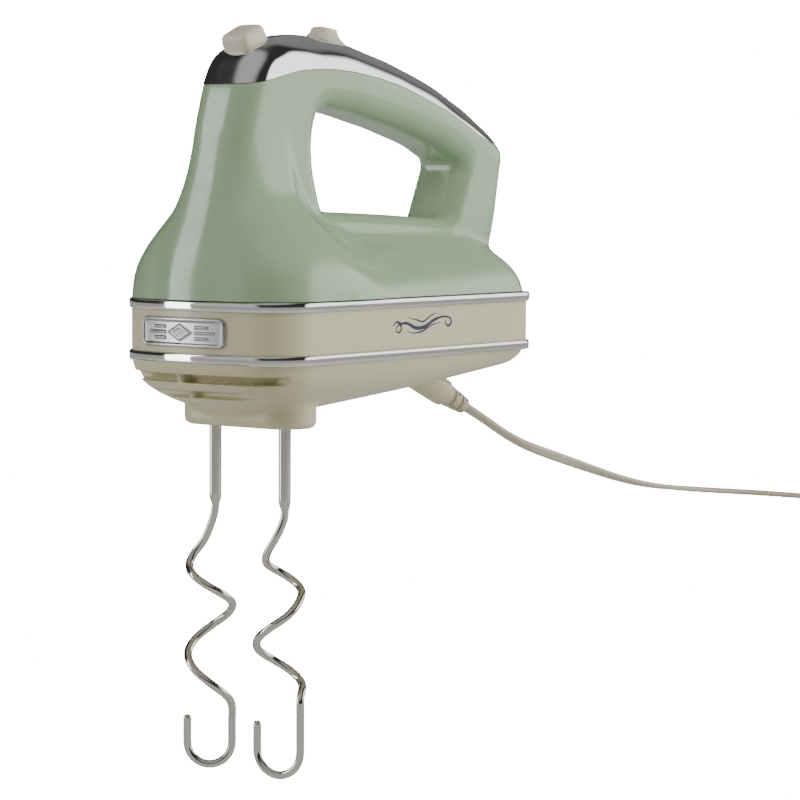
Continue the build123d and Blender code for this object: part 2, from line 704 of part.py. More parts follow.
with BuildPart() as switch_housing:
    with BuildSketch(slider_plane.offset(-19)):
        with Locations((SLIDER_TRAVEL / 2, 0)):
            RectangleRounded(46, 2 * CAVITY_HALF_WIDTH, 2)
    extrude(amount=9.8)
    with BuildSketch(slider_plane.offset(-11)):
        with Locations((SLIDER_TRAVEL / 2, 0)):
            Rectangle(40, 13)
    extrude(amount=3, mode=Mode.SUBTRACT)
finish(switch_housing.part, "switch_housing")

with BuildPart() as switch_contacts:
    with BuildSketch(slider_plane.offset(-10.9)):
        for step in range(5):
            with Locations((step * SLIDER_TRAVEL / 4 - 2, -4), (step * SLIDER_TRAVEL / 4 - 2, 4)):
                Rectangle(2.2, 2.6)
    extrude(amount=0.6)
finish(switch_contacts.part, "switch_contacts")

with BuildPart() as speed_slider:
    with BuildSketch(slider_plane.offset(0.3)):
        RectangleRounded(15, 14, 4.5)
    with BuildSketch(slider_plane.offset(3.0)):
        RectangleRounded(11.5, 11, 4)
    with BuildSketch(slider_plane.offset(7.5)):
        RectangleRounded(8, 9, 3)
    loft()
    with BuildSketch(slider_plane.offset(-7.5)):
        Rectangle(6, 6)
    extrude(amount=8)
finish(speed_slider.part, "speed_slider")

with BuildPart() as slider_carriage:
    with BuildSketch(slider_plane.offset(-9.0)):
        RectangleRounded(12, 12, 1)
    extrude(amount=1.5)
finish(slider_carriage.part, "slider_carriage")

# ---------------------------------------------------------------- hook release

with BuildPart() as eject_button:
    with BuildSketch(button_plane.offset(-7.0)):
        RectangleRounded(BUTTON_SIZE, BUTTON_SIZE, 3.6)
    extrude(amount=17.0)
    top_rim = eject_button.faces().sort_by(Axis((0, 0, 0), button_plane.z_dir))[-1].edges()
    fillet(top_rim, radius=2.2)
finish(eject_button.part, "eject_button")

with BuildPart() as eject_rod:
    with BuildSketch(level(ROD_LOW, 0)):
        RectangleRounded(8, 2 * SPINDLE_Y + 8, 3)
    extrude(amount=4)
    with BuildSketch(level(ROD_LOW + 2, 0)):
        Circle(3.0)
    extrude(amount=ROD_TOP - ROD_LOW - 2)
    with BuildSketch(level(COLLAR_Z, 0)):
        Circle(6.0)
    extrude(amount=2)
    with BuildSketch(level(PIN_LOW)):
        with Locations(*SPINDLE_SPOTS):
            Circle(1.6)
    extrude(amount=ROD_LOW - PIN_LOW + 1)
finish(eject_rod.part, "eject_rod")

with BuildPart() as eject_guide:
    with BuildSketch(level(GUIDE_Z, 0)):
        RectangleRounded(28, 2 * CAVITY_HALF_WIDTH, 4)
        Circle(3.0 + RUNNING_GAP, mode=Mode.SUBTRACT)
    extrude(amount=3)
finish(eject_guide.part, "eject_guide")

with BuildPart() as eject_spring:
    with BuildSketch(level(GUIDE_Z + 3.0, 0)):
        Circle(5.0)
        Circle(4.0, mode=Mode.SUBTRACT)
    extrude(amount=COLLAR_Z - GUIDE_Z - 3.0)
finish(eject_spring.part, "eject_spring")

# ---------------------------------------------------------------- dough hooks

# Heights of the wire's turning points, one each half turn, and the side they lie on
HOOKS = {
    "left": {"y": SPINDLE_Y, "turn": 129.5, "hand": 1, "peaks": [-116.0, -133.0, -154.5, -177.0], "tip": -181.5},
    "right": {"y": -SPINDLE_Y, "turn": 103.5, "hand": -1, "peaks": [-112.5, -127.5, -150.0, -169.0],
              "tip": -180.5},
}


def hook_route(turn, hand, peaks, tip, y):
    """Corner points of the hook's wire: a helix of quarter turns, then the flat U at its foot."""
    corner_radius = HOOK_SWING * 1.13
    points = [place(0, y, SLEEVE_END), place(0, y, peaks[0] + 15.5)]
    for index, peak in enumerate(peaks):
        if index:
            middle = (peaks[index - 1] + peak) / 2
            points.append(around(turn + hand * (180 * index - 90), corner_radius, middle, y))
        if index < len(peaks) - 1:
            points.append(around(turn + hand * 180 * index, corner_radius, peak, y))
    foot = turn + hand * 180 * (len(peaks) - 1)
    points.append(around(foot, HOOK_SWING, peaks[-1], y))
    points.append(around(foot, HOOK_SWING, HOOK_BOTTOM, y))
    points.append(around(foot + 180, HOOK_SWING, HOOK_BOTTOM, y))
    points.append(around(foot + 180, HOOK_SWING, tip, y))
    return points


def around(angle, radius, z, y):
    """A point at an angle and a radius about a spindle's axis."""
    return place(radius * cos(radians(angle)), y + radius * sin(radians(angle)), z)


def wire_radii(points, share, most):
    """The arc at each corner: a share of the shorter run over the tangent of half the turn."""
    radii = []
    for before, corner, after in zip(points, points[1:], points[2:]):
        first = Vector(*corner) - Vector(*before)
        second = Vector(*after) - Vector(*corner)
        half_turn = radians(first.get_angle(second)) / 2
        radii.append(min(share * min(first.length, second.length) / tan(half_turn), most))
    return radii


for hand, hook in HOOKS.items():
    route = hook_route(hook["turn"], hook["hand"], hook["peaks"], hook["tip"], hook["y"])
    radii = wire_radii(route, 0.49, 40.0)
    with BuildPart() as dough_hook:
        with BuildLine() as wire:
            FilletPolyline(*route, radius=radii)
        with BuildSketch(Plane(origin=wire.line @ 0, z_dir=wire.line % 0)):
            Circle(HOOK_WIRE_RADIUS)
        sweep(path=wire.line)
        with BuildSketch(level(SLEEVE_END, 0, hook["y"])):
            Circle(HOOK_SHAFT_RADIUS)
        extrude(amount=HOOK_TOP - SLEEVE_END)
        with BuildSketch(level(SLEEVE_END, 0, hook["y"])):
            Circle(HOOK_SHAFT_RADIUS)
        with BuildSketch(level(SLEEVE_END - 3.0, 0, hook["y"])):
            Circle(HOOK_WIRE_RADIUS)
        loft()
    print(hand, "hook radii", [round(radius, 1) for radius in radii], dough_hook.part.volume)
    finish(dough_hook.part, f"hook_{hand}")

# ---------------------------------------------------------------- mains lead

with BuildPart() as cord_guard:
    with BuildSketch(stub_axis):
        Circle(3.4)
    with BuildSketch(stub_axis.offset(16.5)):
        Circle(GUARD_RADIUS)
    loft()
    with BuildSketch(stub_axis.offset(16.5)):
        Circle(GUARD_RADIUS)
    extrude(amount=GUARD_LENGTH - 16.5)
finish(cord_guard.part, "cord_guard")

CORD_ROUTE = [
    (CORD_EXIT_X, 0, CORD_EXIT_Z), (160.5, 0, -59.6), (177, 0, -67.9), (193, 0, -74.4), (210, 0, -79.4),
    (229, 0, -84.6), (250, 0, -90.4), (272, 0, -96.2), (295, 0, -101.0), (319, -1, -104.2),
    (345, -6, -107.0), (366, -20, -108.8), (377.5, -43, -109.4), (381.8, -70, -109.5),
    (COIL_X + LAST_TURN, COIL_Y + 3, REST_LEVEL + CORD_RADIUS),
]
# Off the top turn, round once over the coil, and into the plug that lies on it
CORD_TAIL = [
    (COIL_X - 32, COIL_Y - 4, REST_LEVEL + 8.0), (COIL_X - 32, COIL_Y + 30, REST_LEVEL + 12.7),
    (PLUG_X, COIL_Y + 30, REST_LEVEL + 15.0), (PLUG_X, PLUG_Y, REST_LEVEL + PLUG_HEIGHT),
]
TAIL_RADII = [19.7, 19.7]


def cord_tube(points, radii):
    """A round tube along straight runs joined by tangent arcs."""
    with BuildPart() as tube:
        with BuildLine() as line:
            FilletPolyline(*points, radius=radii)
        with BuildSketch(Plane(origin=line.line @ 0, z_dir=line.line % 0)):
            Circle(CORD_RADIUS)
        sweep(path=line.line)
    length = sum(edge.length for edge in line.line.edges())
    section = pi * CORD_RADIUS ** 2
    print("cord tube", round(length, 1), "volume ratio", round(tube.part.volume / (length * section), 4))
    return tube.part


cord_points = [place(*point) for point in CORD_ROUTE]
cord_radii = wire_radii(cord_points, 0.45, 1000.0)
print("cord radii", [round(radius, 1) for radius in cord_radii])
finish(cord_tube(cord_points, cord_radii), "power_cord")
finish(cord_tube([place(*point) for point in CORD_TAIL], TAIL_RADII), "power_cord_tail")

with BuildPart() as cord_coil:
    with BuildSketch(level(REST_LEVEL, COIL_X, COIL_Y)):
        Circle(COIL_OUTER)
        Circle(COIL_INNER, mode=Mode.SUBTRACT)
    extrude(amount=COIL_HEIGHT)
    fillet(cord_coil.edges(), radius=2.4)
finish(cord_coil.part, "cord_coil")

plug_face = Plane(origin=place(PLUG_X, PLUG_Y, REST_LEVEL + PLUG_HEIGHT), z_dir=(0, -1, 0), x_dir=(1, 0, 0))
with BuildPart() as plug_body:
    with BuildSketch(plug_face):
        Circle(4.0)
    with BuildSketch(plug_face.offset(12)):
        SlotOverall(16, 12)
    loft()
    with BuildSketch(plug_face.offset(12)):
        SlotOverall(16, 12)
    with BuildSketch(plug_face.offset(24)):
        SlotOverall(35.3, 13.7)
    with BuildSketch(plug_face.offset(PLUG_LENGTH)):
        SlotOverall(35.3, 13.7)
    loft(ruled=True)
finish(plug_body.part, "plug_body")

with BuildPart() as plug_pins:
    with BuildSketch(plug_face.offset(PLUG_LENGTH)):
        with GridLocations(PIN_SPACING, 1, 2, 1):
            Circle(2.0)
    extrude(amount=19)
finish(plug_pins.part, "plug_pins")
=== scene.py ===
"""A hand mixer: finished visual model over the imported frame, in metres."""
import json
import math

import bmesh
import bpy
import numpy as np
from mathutils import Matrix, Vector


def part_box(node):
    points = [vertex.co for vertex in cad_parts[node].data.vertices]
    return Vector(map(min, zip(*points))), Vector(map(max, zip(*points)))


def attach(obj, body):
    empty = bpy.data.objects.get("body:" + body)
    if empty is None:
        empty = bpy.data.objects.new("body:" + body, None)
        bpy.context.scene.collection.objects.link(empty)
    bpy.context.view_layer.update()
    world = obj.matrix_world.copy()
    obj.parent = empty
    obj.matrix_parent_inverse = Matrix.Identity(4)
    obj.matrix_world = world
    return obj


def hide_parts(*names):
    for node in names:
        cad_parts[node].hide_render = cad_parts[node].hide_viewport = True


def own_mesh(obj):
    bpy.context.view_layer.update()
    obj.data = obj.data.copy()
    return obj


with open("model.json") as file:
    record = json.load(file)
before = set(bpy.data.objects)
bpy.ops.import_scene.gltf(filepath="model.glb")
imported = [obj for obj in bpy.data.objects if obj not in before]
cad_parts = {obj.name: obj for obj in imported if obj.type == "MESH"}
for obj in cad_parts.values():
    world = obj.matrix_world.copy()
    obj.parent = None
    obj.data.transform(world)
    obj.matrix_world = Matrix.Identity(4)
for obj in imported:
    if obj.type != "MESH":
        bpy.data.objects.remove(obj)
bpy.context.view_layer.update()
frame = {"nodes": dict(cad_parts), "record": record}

# ------------------------ camera, floor and light
# A long lens looks slightly down on the mixer, over a white floor that the hooks clear even when they
# are let down. Soft patches of light round it give the plate and the gloss something to show.
azimuth, pitch, tilt = math.radians(50.5), math.radians(4.0), math.radians(0.30)
back = Vector((-math.sin(azimuth) * math.cos(pitch), -math.cos(azimuth) * math.cos(pitch), math.sin(pitch)))
level_right = Vector((math.cos(azimuth), -math.sin(azimuth), 0.0))
level_up = back.cross(level_right)
right = math.cos(tilt) * level_right + math.sin(tilt) * level_up
up = -math.sin(tilt) * level_right + math.cos(tilt) * level_up
camera = bpy.data.objects.new("camera", bpy.data.cameras.new("camera"))
bpy.context.collection.objects.link(camera)
camera.matrix_world = Matrix((right, up, back)).transposed().to_4x4()
camera.location = (-1.0767, -0.9064, -0.0390)
camera.data.sensor_width = 36.0
camera.data.lens = 142.19
camera.data.clip_start, camera.data.clip_end = 0.05, 60.0
bpy.context.scene.camera = camera
grip_centre = (78.0, 0.0, 90.0)


def put(vector):
    """Millimetres from the spindle plane and the upper trim ring, to metres from the grip's centre."""
    return (np.asarray(vector, float) - grip_centre) / 1000.0


def mesh_piece(name, points, faces, smooth=True, metres=False):
    """A mesh object from points in millimetres (or metres) and faces, its faces shaded smooth."""
    mesh = bpy.data.meshes.new(name)
    places = np.asarray(points) if metres else put(points)
    mesh.from_pydata(places.tolist(), [], faces.tolist() if isinstance(faces, np.ndarray) else faces)
    mesh.update()
    mesh.polygons.foreach_set("use_smooth", [smooth] * len(mesh.polygons))
    piece = bpy.data.objects.new(name, mesh)
    bpy.context.collection.objects.link(piece)
    return piece


class Socket:
    """A shader socket whose arithmetic adds Math nodes."""

    def __init__(self, tree, link):
        self.tree, self.link = tree, link

    def __add__(self, other):
        return self.tree.node("ShaderNodeMath", {"operation": "ADD"}, {0: self, 1: other})

    __radd__ = __add__


class Tree:
    """A node tree, built from values and links."""

    def __init__(self, tree):
        self.nodes, self.links = tree.nodes, tree.links

    def node(self, kind, settings=None, inputs=None, output=0):
        """Adds a node of a kind: its settings first, then the values or links of its sockets."""
        made = self.nodes.new(kind)
        for name, value in (settings or {}).items():
            setattr(made, name, value)
        for name, value in (inputs or {}).items():
            self.join(made.inputs[name], value)
        return Socket(self, made.outputs[output])

    def join(self, socket, value):
        """Links a socket to another one, or sets its value."""
        if isinstance(value, Socket):
            self.links.new(value.link, socket)
        else:
            socket.default_value = value

    def blend(self, mask, first, second):
        """A colour between two, by a mask from 0 to 1."""
        first, second = (value if isinstance(value, Socket) else (*value, 1.0) for value in (first, second))
        return self.node("ShaderNodeMix", {"data_type": "RGBA"}, {0: mask, 6: first, 7: second}, output=2)

    def remap(self, value, low, high, new_low, new_high, curve="LINEAR"):
        """A value's range moved onto another range."""
        return self.node("ShaderNodeMapRange", {"interpolation_type": curve},
                         {"Value": value, "From Min": low, "From Max": high,
                          "To Min": new_low, "To Max": new_high})


class Finish(Tree):
    """A material: a Principled surface and the nodes that vary it."""

    def __init__(self, name, **sockets):
        self.material = bpy.data.materials.new(name)
        self.material.use_nodes = True
        super().__init__(self.material.node_tree)
        self.shader = self.nodes["Principled BSDF"]
        for socket, value in sockets.items():
            self.shader.inputs[socket.replace("_", " ")].default_value = value

    def feed(self, name, value):
        """Joins a value to one of the surface's own sockets."""
        self.join(self.shader.inputs[name], value)

    def noise(self, scale, detail=3.0, roughness=0.55, stretch=None):
        """Cloudy noise on the piece's own coordinates, drawn out along an axis by a stretch."""
        object_output = 3
        vector = self.node("ShaderNodeTexCoord", output=object_output)
        if stretch:
            vector = self.node("ShaderNodeMapping", {}, {"Vector": vector, "Scale": stretch})
        return self.node("ShaderNodeTexNoise", {}, {"Vector": vector, "Scale": scale, "Detail": detail,
                                                     "Roughness": roughness})

    def mask(self, value):
        """A noise: itself, or one of a given scale."""
        return value if isinstance(value, Socket) else self.noise(value)

    def tones(self, mask, first, second):
        """The surface's colour, between two close tones."""
        self.feed("Base Color", self.blend(self.mask(mask), first, second))

    def sheen(self, mask, low, high):
        """The surface's roughness, from low to high over the middle of a noise."""
        self.feed("Roughness", self.remap(self.mask(mask), 0.3, 0.7, low, high))

    def bump(self, mask, strength, distance):
        """A grain in the surface, as deep as a distance in metres."""
        self.feed("Normal", self.node("ShaderNodeBump", {}, {"Height": self.mask(mask), "Strength": strength,
                                                             "Distance": distance}))


def wear(piece, finish):
    """Gives a piece its one material."""
    piece.data.materials.clear()
    piece.data.materials.append(finish.material)
    return piece


floor_level = -246.5
pure_white = (1.0, 1.0, 1.0, 1.0)
backdrop_glow, floor_glow = 18.0, 0.24
floor_finish = Finish("studio_floor", Roughness=0.9, Specular_IOR_Level=0.1, Emission_Color=pure_white,
                      Emission_Strength=floor_glow)
floor_finish.tones(6.0, (0.42, 0.42, 0.41), (0.46, 0.46, 0.45))
# Seen directly the floor is as white as the backdrop, and what it lends the mixer stays dim
seen_floor = floor_finish.node("ShaderNodeEmission", {}, {"Color": pure_white,
                                                          "Strength": backdrop_glow + floor_glow})
floor_finish.join(floor_finish.nodes["Material Output"].inputs["Surface"], floor_finish.node(
    "ShaderNodeMixShader", {}, {0: floor_finish.node("ShaderNodeLightPath"),
                                1: Socket(floor_finish, floor_finish.shader.outputs[0]), 2: seen_floor}))


def disc(name, centre, radius, top, bottom, sides=96):
    """A round block: rim points at equal angles round a centre, a top disc, and a wall down from the rim."""
    angle = np.linspace(0.0, 2 * np.pi, sides + 1)[:-1]
    rim = np.stack([centre[0] + radius * np.cos(angle), centre[1] + radius * np.sin(angle)], -1)
    upper, lower = (np.column_stack([rim, np.full(sides, level)]) for level in (top, bottom))
    faces = [tuple(range(sides))]
    faces += [(step, sides + step, sides + (step + 1) % sides, (step + 1) % sides) for step in range(sides)]
    return mesh_piece(name, np.concatenate([upper, lower]), faces, smooth=False)


wear(disc("studio_floor", (0.0, 0.0), 14000.0, floor_level, floor_level - 10.0), floor_finish)
# A round stand behind the mixer carries the put-away lead
rest = -112.0
coil_x, coil_y = 350.0, -100.0
wear(disc("lead_stand", (coil_x, coil_y), 36.5, rest - 0.1, floor_level), floor_finish)

world = bpy.data.worlds.new("studio")
bpy.context.scene.world = world
world.use_nodes = True
sky = Tree(world.node_tree)
direction = sky.node("ShaderNodeTexCoord")
height = sky.node("ShaderNodeSeparateXYZ", {}, {0: direction}, output=2)


def glow(aim, reach, strength):
    """A soft-edged bright patch of the studio: it grows as the direction's dot product with its aim does."""
    facing = sky.node("ShaderNodeVectorMath", {"operation": "DOT_PRODUCT"},
                      {0: direction, 1: Vector(aim).normalized()}, output="Value")
    return sky.remap(facing, *reach, 0.0, strength, curve="SMOOTHERSTEP")


# Pale below and dark above, with a scrim beside the mixer, one before its nose and two overhead
studio = (sky.remap(height, -0.35, 0.02, 0.40, 0.035, curve="SMOOTHERSTEP")
          + glow((0.82, -0.57, 0.02), (0.78, 0.90), 2.4)
          + glow((-0.93, 0.36, 0.02), (0.80, 0.99), 0.55)
          + glow((-0.42, -0.15, 0.80), (0.55, 0.92), 0.42)
          + glow((0.70, 0.35, 0.62), (0.80, 0.97), 0.20))
seen_directly = sky.node("ShaderNodeLightPath")
sky.join(sky.nodes["Background"].inputs["Color"], sky.blend(seen_directly, studio, (backdrop_glow,) * 3))


def softbox(name, place, aim, size, power):
    """A flat white soft light of a size in metres, turned to face a point."""
    light = bpy.data.lights.new(name, "AREA")
    light.shape, light.energy = "RECTANGLE", power
    light.size, light.size_y = size
    lamp = bpy.data.objects.new(name, light)
    bpy.context.collection.objects.link(lamp)
    lamp.location = place
    lamp.rotation_mode = "QUATERNION"
    lamp.rotation_quaternion = (Vector(aim) - Vector(place)).to_track_quat("-Z", "Y")
    return lamp


softbox("left_light", (-1.08, 1.08, 0.10), (0.0, 0.0, -0.06), (0.36, 1.3), 10.0)
# These two only fill: they leave no reflection of their own
for fill in (softbox("side_light", (1.0, -1.5, 0.45), (0.03, 0.0, -0.06), (1.4, 1.3), 20.0),
             softbox("overhead_light", (-0.4, -0.9, 1.5), (0.0, 0.0, -0.05), (1.0, 0.8), 11.0)):
    fill.visible_glossy = False

# ------------------------ mains lead
# A flat two-core lead in a cream jacket: out of the base's guard, down to a surface behind,
# round into a put-away coil of five and a half turns in layers, and on to its moulded plug.
lead_width, lead_thickness = 5.0, 2.9
lead_exit = (147.0, 0.0, -53.6)
route = [lead_exit, (160.5, 0.0, -59.6), (177.0, 0.0, -67.9), (193.0, 0.0, -74.4),
         (210.0, 0.0, -79.4), (229.0, 0.0, -84.6), (250.0, 0.0, -90.4), (272.0, 0.0, -96.2),
         (295.0, 0.0, -101.0), (319.0, -1.0, -104.2), (345.0, -6.0, -107.0), (366.0, -20.0, -108.8),
         (377.5, -43.0, -110.0), (381.8, -70.0, -110.3), (382.5, -92.0, -110.4)]
# One layer's two turns run inwards, the next layer's outwards, and the end climbs off to the plug
coil_turns, coil_steps = 5.5, 14
outer_radius, inward_reach = 32.4, 10.2
first_lift, layer_lift = 1.7, 3.05
for step in range(1, int(coil_turns * coil_steps)):
    turned = step / coil_steps
    inward = 1.0 - abs(turned % 4.0 / 2.0 - 1.0)
    radius = outer_radius - inward_reach * inward
    climb_up, climb_off = max(0.0, turned % 2.0 - 1.7) / 0.3, max(0.0, turned - 5.1) / 0.33
    layer = min(turned // 2.0 + climb_up, 2.0) + climb_off
    sweep_angle = -2 * math.pi * turned
    route.append((coil_x + radius * math.cos(sweep_angle), coil_y + radius * math.sin(sweep_angle),
                  rest + first_lift + layer_lift * layer))
# Over the coil once more, and into the plug that lies on it
last_loop = [(-29.5, 1.5, 12.0), (-28.3, 12.6, 12.6), (-25.0, 22.2, 13.2), (-18.6, 28.6, 13.8),
             (-9.7, 31.0, 14.4), (-0.9, 28.6, 15.0), (5.6, 22.2, 15.8), (8.0, 13.3, 16.6), (8.0, 8.0, 17.0)]
route += [(coil_x + aside_x, coil_y + aside_y, rest + lift) for aside_x, aside_y, lift in last_loop]
line = bpy.data.curves.new("lead_line", "CURVE")
line.dimensions = "3D"
line.resolution_u = 8
spline = line.splines.new("NURBS")
spline.points.add(len(route) - 1)
spline.points.foreach_set("co", np.concatenate([put(route), np.ones((len(route), 1))], 1).ravel())
spline.order_u = 3
spline.use_endpoint_u = True
line_holder = bpy.data.objects.new("lead_line", line)
bpy.context.collection.objects.link(line_holder)
bpy.context.view_layer.update()
settled_line = line_holder.evaluated_get(bpy.context.evaluated_depsgraph_get())
line_mesh = bpy.data.meshes.new_from_object(settled_line)


def points_of(mesh):
    """A mesh's points, as the rows of an array."""
    points = np.empty(len(mesh.vertices) * 3)
    mesh.vertices.foreach_get("co", points)
    return points.reshape(-1, 3)


lead_path = points_of(line_mesh)
bpy.data.objects.remove(line_holder)


def grid_faces(rows, columns, closed=False, around=False):
    """Quads between neighbouring rows and columns of a point grid. Closed joins the last column to the
    first, and around the last row to the first."""
    row, column = np.meshgrid(np.arange(rows if around else rows - 1),
                              np.arange(columns if closed else columns - 1), indexing="ij")
    after_row, after_column = (row + 1) % rows, (column + 1) % columns
    return np.stack([row * columns + column, row * columns + after_column,
                     after_row * columns + after_column, after_row * columns + column], -1).reshape(-1, 4)


def along(path):
    """Unit tangents of a path: the difference of each point's neighbours."""
    tangent = np.gradient(path, axis=0)
    return tangent / np.linalg.norm(tangent, axis=1, keepdims=True)


def power(value, exponent):
    """A power that keeps the sign: what squares off an oval."""
    return np.sign(value) * np.abs(value) ** exponent


def flat_tube(path, width, thickness, twist, sides=20):
    """A flat lead: at each point of the path, two round cores side by side turned by a twist angle.

    The section is an oval whose waist is pinched between the cores."""
    tangent = along(path)
    level_side = np.cross(tangent, (0.0, 0.0, 1.0))
    level_side /= np.linalg.norm(level_side, axis=1, keepdims=True)
    lift = np.cross(level_side, tangent)
    turn = np.linspace(0, 2 * np.pi, sides + 1)[:-1]
    across_now = power(np.cos(turn), 0.8) * width / 2
    up_now = np.sin(turn) * thickness / 2 * (1.0 - 0.16 * np.exp(-(across_now / (0.16 * width)) ** 2))
    cosine, sine = np.cos(twist)[:, None], np.sin(twist)[:, None]
    flat = across_now[None] * cosine - up_now[None] * sine
    tall = across_now[None] * sine + up_now[None] * cosine
    return path[:, None] + flat[..., None] * level_side[:, None] + tall[..., None] * lift[:, None]


travel = np.concatenate([[0.0], np.cumsum(np.linalg.norm(np.diff(lead_path, axis=0), axis=1))])
# Leaves the guard on edge, lies over, then stays flat on the surface
twist_at = np.interp(travel, [0.0, 0.03, 0.075, 0.12, 0.19, 0.26], [0.55, 0.25, 1.25, 0.55, -0.12, 0.0])
for _ in range(30):
    twist_at[1:-1] = (twist_at[:-2] + 2 * twist_at[1:-1] + twist_at[2:]) / 4
lead_rings = flat_tube(lead_path, lead_width / 1000, lead_thickness / 1000, twist_at)
ring_count, ring_sides = lead_rings.shape[:2]
lead_points = np.concatenate([lead_rings.reshape(-1, 3), lead_path[:1], lead_path[-1:]])
lead_faces = grid_faces(ring_count, ring_sides, closed=True)[:, ::-1].tolist()
last_ring = (ring_count - 1) * ring_sides
first_cap, last_cap = ring_count * ring_sides, ring_count * ring_sides + 1
for side_now in range(ring_sides):
    after = (side_now + 1) % ring_sides
    lead_faces.append((first_cap, side_now, after))
    lead_faces.append((last_cap, last_ring + after, last_ring + side_now))
lead = mesh_piece("mains_lead", lead_points, lead_faces, metres=True)
lead_finish = Finish("lead_jacket", Specular_IOR_Level=0.45)
lead_finish.tones(90.0, (0.56, 0.51, 0.37), (0.61, 0.56, 0.41))
lead_finish.sheen(160.0, 0.36, 0.5)
lead_finish.bump(lead_finish.noise(900.0, 2.0), 0.12, 0.0002)
wear(lead, lead_finish)
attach(lead, "housing")
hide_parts("power_cord", "power_cord_tail", "cord_coil")

# ------------------------ upper shell
# One glossy sage-green moulding: a nose column that flares into the skirt, and a loop handle whose
# rear leg stands on the skirt's ridge. Every part of it runs into the next without an edge.
cell = 1.25
axis_x = np.arange(-50.0, 173.0, cell)
axis_y = np.arange(-56.0, 56.1, cell)
axis_z = np.arange(-6.0, 120.0, cell)


def soft_corner(first, second, radius):
    """Where two distances meet in a solid's edge: the edge rounded to a radius."""
    return (np.minimum(np.maximum(first, second), -radius)
            + np.hypot(np.maximum(first + radius, 0.0), np.maximum(second + radius, 0.0)))


def soft_join(first, second, radius):
    """The union of two solids, filleted: the lower distance, dipped where the two are alike."""
    mix = np.clip(0.5 + 0.5 * (second - first) / radius, 0.0, 1.0)
    return second + (first - second) * mix - radius * mix * (1.0 - mix)


def rounded_loop(corners, radii, fine=14):
    """A closed outline through rounded corners: arcs tangent to both runs of each corner."""
    corners = np.asarray(corners, float)
    outline = []
    for place, corner in enumerate(corners):
        before, after = corners[place - 1] - corner, corners[(place + 1) % len(corners)] - corner
        reach_before, reach_after = np.linalg.norm(before), np.linalg.norm(after)
        half = math.acos(np.clip(before @ after / reach_before / reach_after, -1, 1)) / 2
        pull = min(radii[place] / math.tan(half), 0.49 * reach_before, 0.49 * reach_after)
        start, end = corner + before / reach_before * pull, corner + after / reach_after * pull
        step = np.linspace(0, 1, fine)[:, None]
        outline.append(arc_between(start, end, corner, step))
    return np.concatenate(outline)


def arc_between(start, end, corner, step):
    """A round arc from start to end, tangent to the lines to the corner."""
    middle = (start + end) / 2
    height, half_chord = np.linalg.norm(corner - middle), np.linalg.norm(end - start) / 2
    weight = height and half_chord / math.hypot(height, half_chord) or 1.0
    low, mid, high = (1 - step) ** 2, 2 * weight * step * (1 - step), step ** 2
    return (low * start + mid * corner + high * end) / (low + mid + high)


def outline_distance(outline, x, z):
    """The distance from each grid point to a closed outline, below zero inside it."""
    after = np.roll(outline, -1, axis=0)
    run = after - outline
    nearest = np.full(x.shape, 1e9)
    crossings = np.zeros(x.shape, int)
    for (px, pz), (dx, dz) in zip(outline, run):
        if dx * dx + dz * dz < 1e-12:
            continue
        share = np.clip(((x - px) * dx + (z - pz) * dz) / (dx * dx + dz * dz), 0, 1)
        nearest = np.minimum(nearest, np.hypot(x - px - share * dx, z - pz - share * dz))
        if dz:
            crossings += ((pz <= z) != (pz + dz <= z)) & (x < px + (z - pz) / dz * dx)
    return np.where(crossings % 2, -nearest, nearest)


def smooth_table(value, places, heights):
    """A smooth curve through a table: straight runs averaged over a short window."""
    window = np.linspace(-4.0, 4.0, 9)
    weight = np.exp(-(window / 2.6) ** 2)
    return sum(w * np.interp(value + s, places, heights) for s, w in zip(window, weight)) / weight.sum()


# Side view of the handle's outline and of the finger opening, in x and z
loop_corners = [(-40.5, -12), (-39.0, 14), (-33.2, 33), (-27.4, 52), (-23.6, 72), (-18.3, 91),
                (-11.5, 104.4), (4, 110.2), (24, 112.8), (50, 111.2), (84, 103.2), (112, 94.6), (138, 83.2),
                (153, 74.6), (163.4, 65.5), (160.6, 54), (157, 34), (152.4, 18), (152.4, -12)]
loop_round = [1, 40, 90, 90, 90, 60, 22, 40, 60, 90, 120, 120, 90, 40, 15, 60, 90, 30, 1]
finger_corners = [(32.5, 37.0), (26.4, 56), (26.0, 70), (30.5, 81.8), (54, 79.6), (86, 73.0), (113, 65.8),
                  (128.8, 58.5), (126.0, 52), (118.2, 33.2), (78, 35.4)]
finger_round = [6, 60, 30, 11, 120, 200, 60, 6, 20, 5, 300]
side_x, side_z = np.meshgrid(axis_x, axis_z, indexing="ij")
loop_distance = outline_distance(rounded_loop(loop_corners, loop_round), side_x, side_z)
finger_distance = outline_distance(rounded_loop(finger_corners, finger_round), side_x, side_z)

# The nose column at each height: half-width, front, how far its corners lie back, and their radius
skirt_z = [-8, 0, 5, 10, 14, 20, 25, 30, 36, 41, 46, 50, 58, 67, 79, 95]
nose_half = [51.0, 50.2, 49.8, 48.8, 47.2, 43.2, 39.0, 34.2, 28.6, 24.6, 21.6, 19.6, 16.9, 14.2, 9.0, -14.0]
nose_front = [-40.9, -40.7, -40.6, -40.2, -39.7, -38.3, -36.8, -35.0, -32.4, -30.4, -28.6, -27.0,
              -24.0, -20.5, -15.0, -6.0]
nose_setback = [9.0, 8.9, 8.9, 8.7, 8.4, 7.6, 6.8, 6.0, 5.0, 4.4, 3.8, 3.4, 3.0, 3.0, 3.0, 3.0]
nose_corner = [22.8, 22.8, 22.8, 22.5, 22, 21, 20, 19, 17.5, 16, 14.5, 13.5, 12.5, 12, 11.5, 9.0]
# The skirt's back end at each height
heel_z = [-8, 0, 5, 10, 14, 18, 22, 27, 32]
heel_back = [163.6, 163.2, 162.4, 160.0, 156.4, 150.0, 142.0, 131.0, 118.0]


